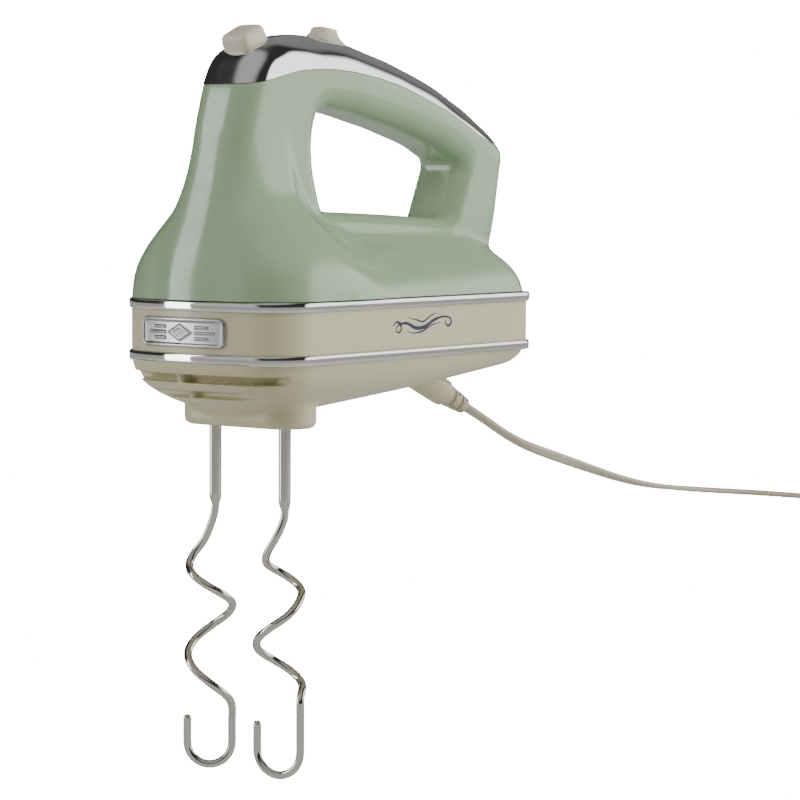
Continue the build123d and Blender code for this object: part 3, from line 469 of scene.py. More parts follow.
def shell_field(x, y, z, loop, finger):
    """Below zero inside the shell: skirt, nose column and handle, joined softly."""
    beside = np.abs(y)
    # The skirt: at each height a wedge in plan, its half-width falling as a bowed slope to the ridge
    wedge = 50.6 - (x + 31.0) * (50.6 - 29.6) / 195.0
    ridge = 31.0
    rise = np.clip(z / ridge, 0.0, 3.0)
    slope_share = np.where(rise < 1.0, np.clip(1.0 - rise ** 1.5, 0, 1) ** (1 / 1.5), -(rise - 1.0) * 2.0)
    deck_half = wedge * slope_share
    narrowing = 0.06 * np.clip(x + 31.0, 0, 40) * np.clip(1 - z / 30, 0, 1)
    column_half = smooth_table(z, skirt_z, nose_half) - narrowing
    share = np.clip((x - 2.0) / 52.0, 0.0, 1.0)
    share = share * share * (3 - 2 * share)
    half = column_half * (1 - share) + deck_half * share
    front = smooth_table(z, skirt_z, nose_front)
    setback = smooth_table(z, skirt_z, nose_setback)
    corner = smooth_table(z, skirt_z, nose_corner)
    nose_bow = front + setback * (beside / np.maximum(half, 8.0)) ** 2 - x
    heel = x - smooth_table(z, heel_z, heel_back) + 4.0 * (beside / 30.0) ** 2
    flank = (beside - half) * 0.96
    body = soft_corner(flank, nose_bow, np.maximum(corner, 8.0))
    body = soft_corner(body, heel, 12.0)
    thick = 16.0 + 0.8 * np.exp(-((x + 5.0) / 30.0) ** 2) - 1.0 * np.clip((x - 110.0) / 50.0, 0, 1)
    # The bar's top is fully round across, its underside and its legs only rounded at the edges
    crown = np.clip((z - 97.0 + 0.24 * (x - 30.0)) / 16.0 + 0.5, 0.0, 1.0)
    crown = crown * np.clip((x - 2.0) / 30.0, 0.0, 1.0)
    handle = soft_corner(loop, beside - thick, 11.0 + 4.8 * crown * crown * (3 - 2 * crown))
    whole = soft_join(body, handle, 7.0)
    return soft_corner(whole, -finger, 9.0)


grid_x, grid_y, grid_z = np.meshgrid(axis_x, axis_y, axis_z, indexing="ij")
field = shell_field(grid_x, grid_y, grid_z, loop_distance[:, None, :], finger_distance[:, None, :])


def surface_of(values, axes, cell=cell):
    """The surface where a field is zero: one point per crossed cell, at the mean of the crossings on the
    cell's edges, and one quad per crossed grid edge, which joins the four cells around it."""
    inside = values < 0
    shape = values.shape
    count = np.zeros([n - 1 for n in shape])
    total = np.zeros([n - 1 for n in shape] + [3])
    for direction in range(3):
        low = [slice(None)] * 3
        high = [slice(None)] * 3
        low[direction], high[direction] = slice(0, -1), slice(1, None)
        first, second = values[tuple(low)], values[tuple(high)]
        crossed = (first < 0) != (second < 0)
        share = np.where(crossed, first / np.where(crossed, first - second, 1.0), 0.0)
        others = [a for a in range(3) if a != direction]
        for step_a in (0, 1):
            for step_b in (0, 1):
                cut = [slice(None)] * 3
                cut[others[0]] = slice(step_a, shape[others[0]] - 1 + step_a)
                cut[others[1]] = slice(step_b, shape[others[1]] - 1 + step_b)
                hit, part = crossed[tuple(cut)], share[tuple(cut)]
                count += hit
                total[..., direction] += hit * part
                total[..., others[0]] += hit * step_a
                total[..., others[1]] += hit * step_b
    used = count > 0
    number = np.full(used.shape, -1)
    number[used] = np.arange(used.sum())
    base = np.stack(np.nonzero(used), -1)
    points = (base + total[used] / count[used][:, None]) * cell + [axes[0][0], axes[1][0], axes[2][0]]
    quads = []
    for direction in range(3):
        one, two = [(1, 2), (2, 0), (0, 1)][direction]
        cut_low, cut_high = [slice(1, -1)] * 3, [slice(1, -1)] * 3
        cut_low[direction], cut_high[direction] = slice(0, -1), slice(1, None)
        first, second = inside[tuple(cut_low)], inside[tuple(cut_high)]
        spot = np.stack(np.nonzero(first != second), -1)
        start = np.ones(3, int)
        start[direction] = 0
        spot = spot + start
        ring = []
        for step_one, step_two in ((0, 0), (1, 0), (1, 1), (0, 1)):
            shifted = spot.copy()
            shifted[:, one] -= 1 - step_one
            shifted[:, two] -= 1 - step_two
            ring.append(number[tuple(shifted.T)])
        ring = np.stack(ring, -1)
        outward = (first & ~second)[tuple((spot - start).T)]
        quads.append(np.where(outward[:, None], ring, ring[:, ::-1]))
    return points, np.concatenate(quads)


def settle(points, quads, rounds):
    """Evens a surface out: each point moves halfway to its neighbours' mean, then back a little more."""
    edges = np.concatenate([quads[:, [0, 1]], quads[:, [1, 2]], quads[:, [2, 3]], quads[:, [3, 0]]])
    for turn in range(rounds):
        total = np.zeros_like(points)
        for axis in range(3):
            total[:, axis] = np.bincount(edges[:, 0], points[edges[:, 1], axis], len(points))
        count = np.bincount(edges[:, 0], minlength=len(points))
        mean = total / count[:, None]
        points = points + (mean - points) * (0.55 if turn % 2 == 0 else -0.53)
    return points


whole_points, whole_quads = surface_of(field, (axis_x, axis_y, axis_z))
whole_points = settle(whole_points, whole_quads, 24)
# The seam under the chrome cover, as its height over x
seam_x = [-60, -21, -17, -9.7, -3.4, 2.9, 9.3, 15.7, 28.7, 38.5, 48.5, 65.4, 82, 100, 116, 129, 139, 147,
          152, 153.5, 154.6, 155.4, 200]
seam_z = [90.3, 90.3, 90.5, 91.6, 93.0, 94.6, 96.0, 97.0, 97.9, 97.8, 97.2, 95.2, 92.0, 86.5, 81.2, 75.4,
          70.6, 67.8, 67.3, 68.2, 70.2, 74.6, 300.0]


def stand_proud(points, quads, distance):
    """Moves each point out along the mean of its faces' normals."""
    corner = points[quads]
    normal = np.cross(corner[:, 2] - corner[:, 0], corner[:, 3] - corner[:, 1])
    total = np.zeros_like(points)
    for place in range(4):
        for axis in range(3):
            total[:, axis] += np.bincount(quads[:, place], normal[:, axis], len(points))
    return points + distance * total / np.linalg.norm(total, axis=1, keepdims=True)


def cut_level(piece, level, keep_above, nearness):
    """Cuts a piece flat at a level and keeps the side above or below."""
    bm = bmesh.new()
    bm.from_mesh(piece.data)
    bmesh.ops.bisect_plane(bm, geom=bm.verts[:] + bm.edges[:] + bm.faces[:], plane_co=(0, 0, level),
                           plane_no=(0, 0, 1), clear_inner=keep_above, clear_outer=not keep_above,
                           dist=nearness)
    bm.to_mesh(piece.data)
    bm.free()


def part_of(name, points, quads, above, thickness):
    """The piece of a surface above or below the seam: its height is measured from the seam, cut flat there,
    and put back, and the shell left over gets its wall."""
    lifted = points.copy()
    lifted[:, 2] -= np.interp(lifted[:, 0], seam_x, seam_z)
    piece = mesh_piece(name, lifted, quads, metres=True)
    cut_level(piece, 0.12 if above else -0.12, above, 1e-5)
    spots = points_of(piece.data)
    spots[:, 2] += np.interp(spots[:, 0], seam_x, seam_z)
    piece.data.vertices.foreach_set("co", put(spots).ravel())
    if not above:
        cut_level(piece, -0.0898, True, 1e-8)
    piece.data.update()
    piece.data.polygons.foreach_set("use_smooth", [True] * len(piece.data.polygons))
    wall = piece.modifiers.new("wall", "SOLIDIFY")
    wall.thickness, wall.offset, wall.use_even_offset = thickness / 1000, -1.0, False
    crisp = piece.modifiers.new("crisp_rim", "EDGE_SPLIT")
    crisp.split_angle = math.radians(55.0)
    return piece


shell = part_of("green_shell", whole_points, whole_quads, False, 2.2)
shell_finish = Finish("glossy_green", Specular_IOR_Level=0.5, Coat_Weight=0.25, Coat_Roughness=0.08)
shell_finish.tones(shell_finish.noise(14.0, 2.0), (0.318, 0.448, 0.268), (0.338, 0.470, 0.285))
shell_finish.sheen(220.0, 0.19, 0.24)
shell_finish.bump(shell_finish.noise(420.0, 2.0), 0.05, 0.0001)
wear(shell, shell_finish)
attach(shell, "housing")
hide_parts("upper_shell")

# ------------------------ chrome cover
# A cap moulded in plastic and chrome plated. It clips on the handle's top, from the nose to a rounded
# tongue at the rear, and stands a little proud of the shell below the seam.
cover = part_of("cover_plate", stand_proud(whole_points, whole_quads, 0.3), whole_quads, True, 1.8)


def plated(name, tint, low=0.04, high=0.09):
    """Bright chrome plate: nearly white metal with faint wiping marks."""
    finish = Finish(name, Metallic=1.0)
    finish.tones(60.0, tint, tuple(1.03 * c for c in tint))
    finish.sheen(finish.noise(120.0, 4.0), low, high)
    finish.bump(finish.noise(35.0, 2.0), 0.03, 0.0002)
    return finish


chrome_finish = plated("cover_chrome", (0.80, 0.80, 0.78))
wear(cover, chrome_finish)
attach(cover, "housing")
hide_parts("chrome_cover")

# ------------------------ trim rings
# Two plated rings with rounded outer edges, which run right round the casing. They cover the joints
# between shell, middle band and base, and nip the band between them.


def casing_outline(inset, fine=24):
    """The casing's plan, moved in: a blunt wedge through five rounded corners, in x and y."""
    heel, shoulder = (164.2 - inset, 30.1 - 0.9 * inset), (-32.8 + 0.8 * inset, 51.3 - inset)
    corners = [(heel[0], -heel[1]), (shoulder[0], -shoulder[1]), (-41.7 + inset, 0.0), shoulder, heel]
    heel_round, shoulder_round, nose_round = 13.0 - 0.5 * inset, 22.8 - inset, 131.0
    return rounded_loop(corners, [heel_round, shoulder_round, nose_round, shoulder_round, heel_round], fine)


def hoop(name, profile):
    """A closed profile of (inset, height) carried round the casing's plan."""
    corner_points = 120
    rows = [np.column_stack([casing_outline(inset), np.full(corner_points, height)])
            for inset, height in profile]
    faces = grid_faces(len(profile), corner_points, closed=True, around=True)
    return mesh_piece(name, np.concatenate(rows), faces[:, ::-1])


ring_turn = np.linspace(0, 2 * np.pi, 49)[:-1]
ring_finish = plated("trim_chrome", (0.80, 0.79, 0.76), 0.035, 0.07)
for name, node, top in (("upper_ring", "upper_trim_ring", 0.0), ("lower_ring", "lower_trim_ring", -22.1)):
    depth = 1.9 - 1.9 * power(np.cos(ring_turn), 0.42)
    tall = top - 2.25 + 2.2 * power(np.sin(ring_turn), 0.5)
    ring = wear(hoop(name, list(zip(depth, tall))), ring_finish)
    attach(ring, "housing")
    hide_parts(node)

# ------------------------ base
# A cream moulding: a bowl whose floor rises to the heel, cooling grooves round its nose with a web
# between them, the spindles' boss, and the stub that the lead's guard plugs into.
base_cell = 0.7
base_spans = ((-46.0, 169.0), (-56.0, 56.1), (-60.0, -24.0))
base_x, base_y, base_z = (np.arange(*span, base_cell) for span in base_spans)
bx, by, bz = np.meshgrid(base_x, base_y, base_z, indexing="ij")
beside = np.abs(by)
inset = smooth_table(bz, [-60, -50, -46.5, -43, -39.5, -36, -33, -30, -26.6, -20],
                     [44, 29, 21.5, 14.5, 9.0, 5.6, 3.6, 2.5, 1.9, 1.4])
flank = (beside - 51.3 + 0.1076 * (bx + 32.8)) * 0.994
bowl = soft_corner(flank + inset, -(bx + 41.7 - 8.9 * (beside / 51.3) ** 2) + inset, 21.0)
bowl = soft_corner(bowl, bx - 164.2 + inset, 12.0)
floor_rise = -47.2 + 0.1122 * (bx - 30.0)
bowl = soft_corner(bowl, (floor_rise - bz) * 0.994, 9.0)
web = 1.0 - np.clip(np.abs(by - 7.0) - 1.2, 0.0, 0.8) / 0.8
groove_depth = 6.5 - 5.4 * web
for groove_low, groove_high, groove_end in ((-34.7, -31.0, -23.0), (-41.4, -38.1, -26.0)):
    middle, half_height = (groove_low + groove_high) / 2, (groove_high - groove_low) / 2
    groove = soft_corner(np.abs(bz - middle) - half_height, bx - groove_end, 1.4)
    bowl = np.where(bx < -10, soft_corner(bowl, -np.maximum(groove, -(bowl + groove_depth)), 0.3), bowl)
scoop = np.maximum(np.abs(bz + 45.2) - 1.0, np.abs(by - 7.0) - 6.0)
bowl = np.maximum(bowl, -np.maximum(scoop, np.maximum(-(bowl + 1.6), bx)))
spindle_aside, boss_radius, bore_radius = 20.0, 13.4, 6.3
boss = soft_corner(np.hypot(bx, np.maximum(beside - spindle_aside, 0.0)) - boss_radius, -54.5 - bz, 3.0)
bores = np.hypot(bx, beside - spindle_aside) - bore_radius
base_field = soft_join(bowl, boss, 4.5)
along_x, along_z = -math.cos(math.radians(24.0)), math.sin(math.radians(24.0))
# The stub runs up from where the lead comes out, along the guard's line
reach = (bx - lead_exit[0]) * along_x + (bz - lead_exit[2]) * along_z
aside = np.hypot(by, (bx - lead_exit[0]) * along_z - (bz - lead_exit[2]) * along_x)
stub_radius, stub_start, stub_end = 6.4, 16.5, 44.0
stub = soft_corner(aside - stub_radius, stub_start - reach, 1.2) + np.maximum(reach - stub_end, 0.0)
base_field = soft_join(base_field, stub, 3.0)
base_field = np.maximum(base_field, -np.maximum(bores, bz + 46.0))
base_points, base_quads = surface_of(base_field, (base_x, base_y, base_z), base_cell)
base_points = settle(base_points, base_quads, 4)
kept = base_points[base_quads][:, :, 2].max(axis=1) < -25.6
used = np.unique(base_quads[kept])
renumber = np.zeros(len(base_points), int)
renumber[used] = np.arange(len(used))
base = mesh_piece("base_bowl", base_points[used], renumber[base_quads[kept]])
cream_finish = Finish("cream_moulding", Specular_IOR_Level=0.5, Coat_Weight=0.1, Coat_Roughness=0.15)
cream_finish.tones(18.0, (0.61, 0.565, 0.357), (0.64, 0.595, 0.383))
cream_finish.sheen(260.0, 0.27, 0.35)
cream_finish.bump(cream_finish.noise(700.0, 2.0), 0.08, 0.0001)
wear(base, cream_finish)
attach(base, "housing")
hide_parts("base_cover")

# ------------------------ lead guard
# A soft sleeve moulded on the lead and held in the base's stub. It tapers to the lead, and staggered
# slots between its ribs let it bend.


def face_outwards(piece):
    """Turns a closed piece's faces to point out of it."""
    bm = bmesh.new()
    bm.from_mesh(piece.data)
    bmesh.ops.recalc_face_normals(bm, faces=bm.faces)
    bm.to_mesh(piece.data)
    bm.free()


guard_along = np.linspace(0.0, 36.0, 181)
guard_turn = np.linspace(0, 2 * np.pi, 61)[:-1]
guard_radius = np.interp(guard_along, [0, 0.8, 3, 16, 17.5, 36], [3.0, 3.9, 4.3, 5.3, 5.2, 5.2])
guard_rings = np.repeat(guard_radius[:, None], 60, 1)
for number, groove_at in enumerate((3.2, 6.4, 9.6, 12.8)):
    band_mask = 1.0 / (1.0 + np.exp((np.abs(guard_along - groove_at) - 0.65) / 0.12))
    lobes = np.cos(2 * guard_turn + number * math.pi + 0.6)
    around_mask = 1.0 / (1.0 + np.exp((-lobes - 0.25) / 0.08))
    guard_rings = guard_rings - 1.5 * band_mask[:, None] * around_mask[None]
guard_x = lead_exit[0] + guard_along[:, None] * along_x + guard_rings * np.cos(guard_turn) * along_z
guard_y = guard_rings * np.sin(guard_turn)
guard_z = lead_exit[2] + guard_along[:, None] * along_z - guard_rings * np.cos(guard_turn) * along_x
guard_faces = grid_faces(181, 60, closed=True).tolist()
guard_faces += [tuple(range(59, -1, -1)), tuple(range(180 * 60, 181 * 60))]
guard = mesh_piece("lead_guard", np.stack([guard_x, guard_y, guard_z], -1).reshape(-1, 3), guard_faces)
face_outwards(guard)
guard_finish = Finish("guard_rubber", Specular_IOR_Level=0.4)
guard_finish.tones(60.0, (0.53, 0.475, 0.33), (0.56, 0.505, 0.355))
guard_finish.sheen(200.0, 0.4, 0.52)
guard_finish.bump(900.0, 0.1, 0.0001)
wear(guard, guard_finish)
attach(guard, "housing")
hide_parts("cord_guard")

# ------------------------ eject button and speed knob
# Off-white moulded controls: a block with soft edges that leans forwards over the nose, and a flared
# knob with a thumb hollow behind it. Each stands through a slot in the chrome cover.
control_finish = Finish("control_plastic", Specular_IOR_Level=0.45)
control_finish.tones(30.0, (0.68, 0.64, 0.48), (0.71, 0.67, 0.505))
control_finish.sheen(300.0, 0.3, 0.4)
control_finish.bump(800.0, 0.08, 0.0001)


def set_leaning(name, x, y, z, lean, place):
    """A control from a grid of its own points, turned about y by its lean and set in place."""
    points = np.stack([place[0] + x * math.cos(lean) - z * math.sin(lean), y,
                       place[1] + x * math.sin(lean) + z * math.cos(lean)], -1)
    return mesh_piece(name, points.reshape(-1, 3), grid_faces(*x.shape, closed=True))


# The button: a block with rounded edges, as wide as a squared oval at each rise
button_half = 7.6
round_steps = np.linspace(0, 2 * np.pi, 97)[:-1]
rise, round_turn = np.meshgrid(np.linspace(-np.pi / 2, np.pi / 2, 61), round_steps, indexing="ij")
local_x = button_half * power(np.cos(rise), 0.26) * power(np.cos(round_turn), 0.36)
local_y = button_half * power(np.cos(rise), 0.26) * power(np.sin(round_turn), 0.36)
local_z = 0.2 + 10.4 * power(np.sin(rise), 0.34)
button = set_leaning("eject_key", local_x, local_y, local_z, math.radians(25.0), (-1.6, 104.2))
wear(button, control_finish)
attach(button, "eject_button")
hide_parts("eject_button")
# The knob: a squared oval that narrows from a flared foot, with a thumb hollow across its top
knob_high = np.concatenate([[-6.0, -6.0], np.linspace(0.4, 6.3, 34), np.full(26, 6.5)])
knob_share = np.concatenate([[0.0, 0.42], np.interp(np.linspace(0, 1, 34), [0, 0.06, 0.3, 0.6, 0.9, 1.0],
                                                    [1.0, 0.98, 0.80, 0.66, 0.60, 0.55]),
                             0.52 * np.linspace(1, 0, 26)])
knob_x = 8.6 * knob_share[:, None] * power(np.cos(round_steps), 0.6)[None]
knob_y = 8.2 * knob_share[:, None] * power(np.sin(round_steps), 0.6)[None]
knob_z = knob_high[:, None] - 1.3 * np.exp(-(knob_x / 2.6) ** 2) * (knob_high[:, None] > 6.4)
knob = set_leaning("speed_knob", knob_x, knob_y, knob_z, -math.atan(9.0 / 60.0), (46.8, 109.9))
wear(knob, control_finish)
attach(knob, "speed_slider")
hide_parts("speed_slider")

# ------------------------ nose plaque
# A pressed aluminium badge that follows the nose: a raised rim round a grained field, with a plain
# lozenge between tapering bars as its emblem.
nose_run = casing_outline(0.0, 240)[240:960]
run_length = np.concatenate([[0.0], np.cumsum(np.linalg.norm(np.diff(nose_run, axis=0), axis=1))])
run_middle = np.interp(4.2, nose_run[:, 1], run_length)
badge_a = np.linspace(-24.6, 24.6, 281)
badge_b = np.linspace(-6.3, 6.3, 81)
a_grid, b_grid = np.meshgrid(badge_a, badge_b, indexing="ij")


def step_up(distance, softness=0.16):
    """A smooth step: 1 inside a shape, 0 outside, by its signed distance."""
    return 1.0 / (1.0 + np.exp(np.clip(distance / softness, -40, 40)))


edge = soft_corner(np.abs(a_grid) - 24.4, np.abs(b_grid) - 6.2, 3.2)
lozenge = np.abs(a_grid) / 1.9 + np.abs(b_grid) - 3.4
emblem = (step_up(lozenge * 0.8) - 0.75 * step_up((lozenge + 1.5) * 0.8)
          + 0.6 * step_up((lozenge + 2.6) * 0.8))
for bar in (-2.3, 0.0, 2.3):
    reach_a = 18.6 - 1.4 * abs(bar)
    bar_shape = np.maximum(np.abs(b_grid - bar) - (0.62 - 0.016 * np.abs(a_grid)),
                           np.abs(np.abs(a_grid) - (reach_a + 8.6) / 2) - (reach_a - 8.6) / 2)
    emblem = emblem + step_up(bar_shape)
height_mm = 0.55 * step_up(edge) + 0.75 * step_up(edge) * (1 - step_up(edge + 1.5)) + 0.62 * emblem
spot_x = np.interp(run_middle + a_grid, run_length, nose_run[:, 0])
spot_y = np.interp(run_middle + a_grid, run_length, nose_run[:, 1])
heading = np.gradient(np.stack([spot_x, spot_y], -1), axis=0)
heading /= np.linalg.norm(heading, axis=-1, keepdims=True)
outward = np.stack([-heading[..., 1], heading[..., 0]], -1)
outward *= -np.sign(outward[..., :1])
band_face, badge_middle = -1.15, -13.4
proud = band_face + height_mm
badge_points = np.stack([spot_x + outward[..., 0] * proud, spot_y + outward[..., 1] * proud,
                         b_grid + badge_middle], -1)
inside_badge = edge < 0.25
badge_quads = grid_faces(281, 81)
badge_quads = badge_quads[inside_badge.reshape(-1)[badge_quads].all(axis=1)]
badge = mesh_piece("nose_badge", badge_points.reshape(-1, 3), badge_quads)
bm = bmesh.new()
bm.from_mesh(badge.data)
bmesh.ops.delete(bm, geom=[v for v in bm.verts if not v.link_faces], context="VERTS")
bmesh.ops.recalc_face_normals(bm, faces=bm.faces)
if sum(f.normal.x for f in bm.faces) > 0:
    bmesh.ops.reverse_faces(bm, faces=bm.faces)
bm.to_mesh(badge.data)
bm.free()
badge_finish = Finish("badge_metal", Metallic=1.0)
brushing = badge_finish.noise(300.0, 3.0, 0.6, (1.0, 1.0, 9.0))
badge_finish.tones(brushing, (0.42, 0.42, 0.42), (0.55, 0.55, 0.54))
badge_finish.sheen(brushing, 0.24, 0.38)
badge_finish.bump(brushing, 0.1, 0.0001)
wear(badge, badge_finish)
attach(badge, "housing")
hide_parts("nose_plaque")

# ------------------------ side flourish
# A flourish printed in dark blue ink on each flat flank of the band: one long line that swells and
# thins like a pen's, with a short stroke above it and another below.
flourish_finish = Finish("flourish_ink", Specular_IOR_Level=0.4)
flourish_finish.tones(80.0, (0.012, 0.018, 0.045), (0.022, 0.03, 0.065))
flourish_finish.sheen(300.0, 0.4, 0.5)


def inked(name, line_points, widths, flank_side):
    """A ribbon on the flank: a smooth line through points (along, height), as wide as widths say."""
    fine = np.linspace(0, len(line_points) - 1, 220)
    knots = np.asarray(line_points, float)
    whole = np.minimum(fine.astype(int), len(knots) - 2)
    part = (fine - whole)[:, None]
    before, after = knots[np.maximum(whole - 1, 0)], knots[np.minimum(whole + 2, len(knots) - 1)]
    start, end = knots[whole], knots[whole + 1]
    path = 0.5 * (2 * start + (end - before) * part + (2 * before - 5 * start + 4 * end - after) * part ** 2
                  + (3 * start - before - 3 * end + after) * part ** 3)
    heading = np.gradient(path, axis=0)
    normal = np.stack([-heading[:, 1], heading[:, 0]], -1) / np.linalg.norm(heading, axis=1, keepdims=True)
    half = np.interp(fine, np.arange(len(widths)), widths)[:, None] / 2
    both = np.stack([path - normal * half, path + normal * half], 1)
    along_flank = both[..., 0]
    out = 51.3 - 1.2 - 0.1076 * (along_flank + 32.8) + 0.09
    points = np.stack([along_flank, flank_side * out, both[..., 1]], -1).reshape(-1, 3)
    faces = grid_faces(220, 2)
    return mesh_piece(name, points, faces if flank_side < 0 else faces[:, ::-1])


for flank_side, hand in ((-1, "near"), (1, "far")):
    strokes = [
        ([(45, -12.2), (48, -10.4), (51, -11.4), (51.5, -14.0), (49, -15.0), (47.6, -13.4), (50, -11.6),
          (56, -11.2), (63, -13.4), (70, -13.2), (77, -10.6), (84, -9.2), (90, -9.8), (91.5, -12.0),
          (89, -13.4), (86.8, -12.2), (87.4, -10.8)],
         [0.3, 0.9, 1.3, 1.0, 0.6, 0.5, 0.8, 1.3, 1.7, 1.7, 1.4, 0.9, 0.8, 1.2, 1.0, 0.7, 0.4]),
        ([(56, -14.6), (62, -15.6), (69, -14.8), (76, -12.6), (83, -11.6)], [0.2, 0.6, 0.8, 0.6, 0.2]),
        ([(57, -8.8), (63, -9.8), (69, -10.8), (75, -8.4), (80, -7.4)], [0.2, 0.6, 0.8, 0.6, 0.2]),
    ]
    for number, (line_points, widths) in enumerate(strokes):
        stroke = wear(inked(f"flourish_{hand}_{number}", line_points, widths, flank_side), flourish_finish)
        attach(stroke, "housing")

# ------------------------ dough hooks
# Chrome-plated steel wire, bent cold into a spiral and a U at its foot, in a straight shank that
# plugs into a spindle. The two are wound in opposite hands.


def smooth_line(knots, count):
    """A smooth line through points: each span a cubic whose slopes come from the neighbours."""
    knots = np.asarray(knots, float)
    run = np.concatenate([[0.0], np.cumsum(np.linalg.norm(np.diff(knots, axis=0), axis=1) ** 0.5)])
    slope = np.gradient(knots, run, axis=0)
    at = np.linspace(0, run[-1], count)
    span = np.clip(np.searchsorted(run, at, side="right") - 1, 0, len(run) - 2)
    width = (run[span + 1] - run[span])[:, None]
    part = ((at - run[span])[:, None]) / width
    return ((2 * part ** 3 - 3 * part ** 2 + 1) * knots[span]
            + (part ** 3 - 2 * part ** 2 + part) * width * slope[span]
            + (3 * part ** 2 - 2 * part ** 3) * knots[span + 1]
            + (part ** 3 - part ** 2) * width * slope[span + 1])


def wire_tube(name, path, radii, sides=28):
    """A round tube: circles carried along a path without twist, closed by a domed cap at each end."""
    tangent = along(path)
    side = np.empty_like(path)
    side[0] = np.cross(tangent[0], (0.3, 0.9, 0.1))
    for place in range(1, len(path)):
        side[place] = side[place - 1] - tangent[place] * (side[place - 1] @ tangent[place])
        side[place] /= np.linalg.norm(side[place])
    side[0] /= np.linalg.norm(side[0])
    lift = np.cross(tangent, side)
    turn = np.linspace(0, 2 * np.pi, sides + 1)[:-1]
    rings = path[:, None] + radii[:, None, None] * (np.cos(turn)[None, :, None] * side[:, None]
                                                    + np.sin(turn)[None, :, None] * lift[:, None])
    faces = grid_faces(len(path), sides, closed=True).tolist()
    faces += [tuple(range(sides - 1, -1, -1)), tuple(range((len(path) - 1) * sides, len(path) * sides))]
    tube = mesh_piece(name, rings.reshape(-1, 3), faces)
    face_outwards(tube)
    return tube


hook_finish = plated("hook_chrome", (0.62, 0.60, 0.54), 0.07, 0.14)
hook_shapes = {
    # spindle side, first turn angle, hand, heights of the half turns, tip, swing and drift at those heights
    "left": (20.0, 129.5, 1, (-116.0, -133.0, -154.5, -177.0), -181.5,
             (9.5, 9.5, 9.75, 9.7), (1.9, 1.9, 2.2, 2.4)),
    "right": (-20.0, 103.5, -1, (-112.5, -127.5, -150.0, -169.0), -180.5,
              (8.4, 8.5, 10.2, 10.4), (0.5, 1.0, 2.0, 2.3)),
}
bottom = -203.2
shank_radius, wire_radius = 2.7, 1.8
for side_name, (spindle_y, first_turn, hand, peaks, tip, swings, drifts) in hook_shapes.items():
    knots = [(0.0, 0.0, -86.0), (0.0, 0.0, -93.0)]
    for number, peak in enumerate(peaks):
        turn_now = math.radians(first_turn + hand * 180 * number)
        swing = swings[number]
        if number:
            for share in (0.25, 0.5, 0.75):
                at = math.radians(first_turn + hand * 180 * (number - 1 + share))
                knots.append((swing * math.cos(at), swing * math.sin(at),
                              peaks[number - 1] + (peak - peaks[number - 1]) * share))
        else:
            # It winds out from the shank's axis into the first turn
            for share, behind, above in ((0.45, 0.5, 10.5), (0.86, 0.25, 4.5)):
                at = turn_now - hand * behind
                knots.append((share * swing * math.cos(at), share * swing * math.sin(at), peak + above))
        knots.append((swing * math.cos(turn_now), swing * math.sin(turn_now), peak))
    foot = np.array([math.cos(turn_now), math.sin(turn_now)])
    for drop in (0.33, 0.66, 1.0):
        knots.append((*(swing * foot), peaks[-1] + (bottom + swing - peaks[-1]) * drop))
    for bend in range(15, 181, 15):
        knots.append((*(swing * math.cos(math.radians(bend)) * foot),
                      bottom + swing - swing * math.sin(math.radians(bend))))
    knots.append((*(-swing * foot), (bottom + swing + tip) / 2))
    knots.append((*(-swing * foot), tip))
    wire = smooth_line(knots, 520)
    for _ in range(36):
        wire[1:-1] = (wire[:-2] + 2 * wire[1:-1] + wire[2:]) / 4
    wire[:, 1] += spindle_y
    # The bent wire sits a little off the shank's axis
    away = np.interp(-wire[:, 2], [88.0, *(-peak for peak in peaks)], [0.0, *drifts])
    wire[:, 0] -= 0.636 * away
    wire[:, 1] += 0.772 * away
    shank = np.column_stack([np.zeros(60), np.full(60, spindle_y), np.linspace(-20.0, -85.8, 60)])
    hook_path = np.concatenate([shank, wire])
    wire_run = np.cumsum(np.linalg.norm(np.diff(wire, axis=0), axis=1))
    reach = np.concatenate([np.linspace(-66.0, -0.2, 60), [0], wire_run])
    end = reach[-1]
    hook_radius = np.interp(reach, [-66.0, -65.3, -0.2, 1.0, 3.4, end - 0.9, end],
                            [2.1, shank_radius, shank_radius, 2.5, wire_radius, wire_radius, 1.0])
    hook = wear(wire_tube(f"dough_hook_{side_name}", hook_path, hook_radius), hook_finish)
    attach(hook, f"hook_{side_name}")
    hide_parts(f"hook_{side_name}")

# ------------------------ eject spring
# A steel wire coil round the eject rod, between the guide plate and the rod's collar. In the mixer
# the rod's travel presses it together; here it is drawn at one length.
spring_low, spring_high = (np.asarray(corner) * 1000 + grip_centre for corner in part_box("eject_spring"))
spring_tall = spring_high[2] - spring_low[2]
spring_wire = 0.4
spring_turn = np.linspace(0, 2 * np.pi * 6, 431)
# The first and last turns lie flat, as a ground spring's do
spring_climb = np.interp(spring_turn / (2 * np.pi), [0, 0.8, 5.2, 6], [0, 0.06, 0.94, 1])
spring_path = np.column_stack([4.5 * np.cos(spring_turn), 4.5 * np.sin(spring_turn),
                               spring_low[2] + spring_wire + (spring_tall - 2 * spring_wire) * spring_climb])
release_spring = wire_tube("release_spring", spring_path, np.full(431, spring_wire), 14)
spring_finish = Finish("spring_wire", Metallic=1.0)
spring_finish.tones(200.0, (0.40, 0.40, 0.41), (0.52, 0.52, 0.52))
spring_finish.sheen(300.0, 0.24, 0.36)
wear(release_spring, spring_finish)
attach(release_spring, "housing")
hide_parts("eject_spring")
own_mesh(release_spring)

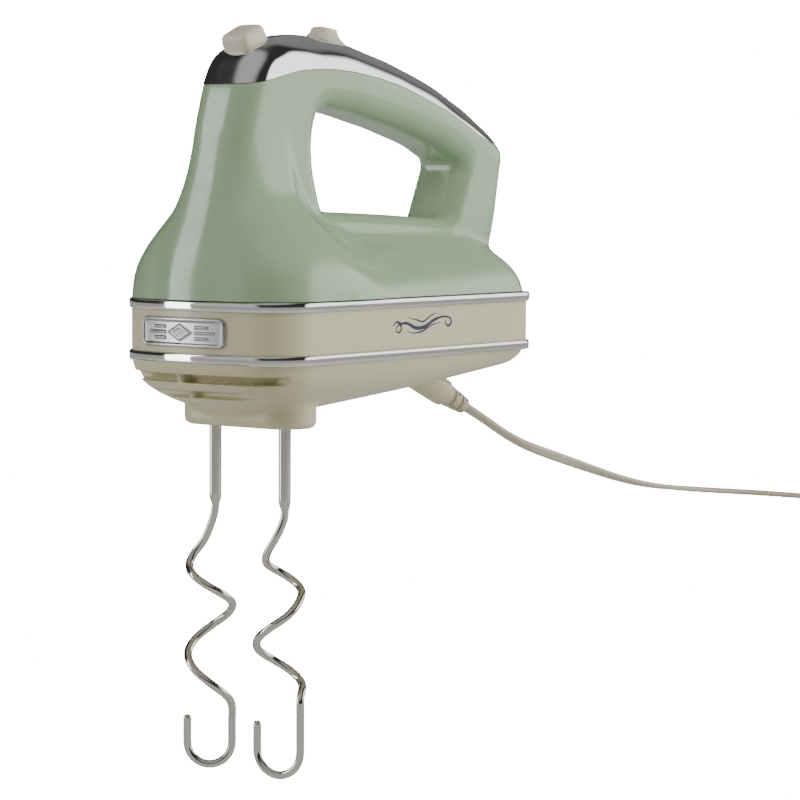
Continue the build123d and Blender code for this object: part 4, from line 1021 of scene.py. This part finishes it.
# ------------------------ plug, middle band and inner pieces
# The moulded plug, the band between the rings, and the motor, gears, bearings and switch inside. Their
# shape is already exact, so they keep it, and get the finish of what they are made of.
plug_finish = Finish("plug_moulding", Specular_IOR_Level=0.4)
plug_finish.tones(40.0, (0.53, 0.475, 0.33), (0.56, 0.505, 0.355))
plug_finish.sheen(300.0, 0.42, 0.55)
plug_finish.bump(900.0, 0.15, 0.0001)
inner_finishes = {"plug_plastic": plug_finish, "cream_plastic": cream_finish}
inner_looks = {
    # slot: colour, metallic, roughness, how far the grain is stretched
    "screw_steel": ((0.42, 0.42, 0.42), 1.0, 0.35, (1, 1, 6)),
    "gear_nylon": ((0.80, 0.76, 0.64), 0.0, 0.45, (1, 1, 1)),
    "inner_plastic": ((0.025, 0.025, 0.028), 0.0, 0.5, (1, 1, 1)),
    "bush_bronze": ((0.50, 0.33, 0.17), 1.0, 0.4, (1, 1, 1)),
    "shaft_steel": ((0.55, 0.55, 0.55), 1.0, 0.22, (1, 1, 8)),
    "spring_steel": ((0.38, 0.38, 0.40), 1.0, 0.3, (1, 1, 12)),
    "lamination_steel": ((0.26, 0.26, 0.27), 1.0, 0.45, (18, 1, 1)),
    "winding_copper": ((0.55, 0.23, 0.10), 1.0, 0.35, (9, 1, 1)),
    "contact_brass": ((0.70, 0.52, 0.22), 1.0, 0.3, (1, 1, 1)),
    "brush_carbon": ((0.03, 0.03, 0.03), 0.0, 0.7, (1, 1, 1)),
    "capacitor_case": ((0.70, 0.52, 0.10), 0.0, 0.35, (1, 1, 1)),
    "pin_metal": ((0.72, 0.68, 0.55), 1.0, 0.25, (1, 6, 1)),
}
for slot_name, (colour, metallic, roughness, stretch) in inner_looks.items():
    finish = Finish(slot_name, Metallic=metallic)
    grain = finish.noise(260.0, 3.0, 0.6, stretch)
    finish.tones(grain, tuple(0.85 * c for c in colour), tuple(1.12 * c for c in colour))
    finish.sheen(grain, roughness - 0.06, roughness + 0.08)
    finish.bump(grain, 0.15, 0.0001)
    inner_finishes[slot_name] = finish
for piece in frame["record"]["subparts"]:
    if piece["material_slot"] in inner_finishes and not frame["nodes"][piece["node"]].hide_render:
        wear(frame["nodes"][piece["node"]], inner_finishes[piece["material_slot"]])
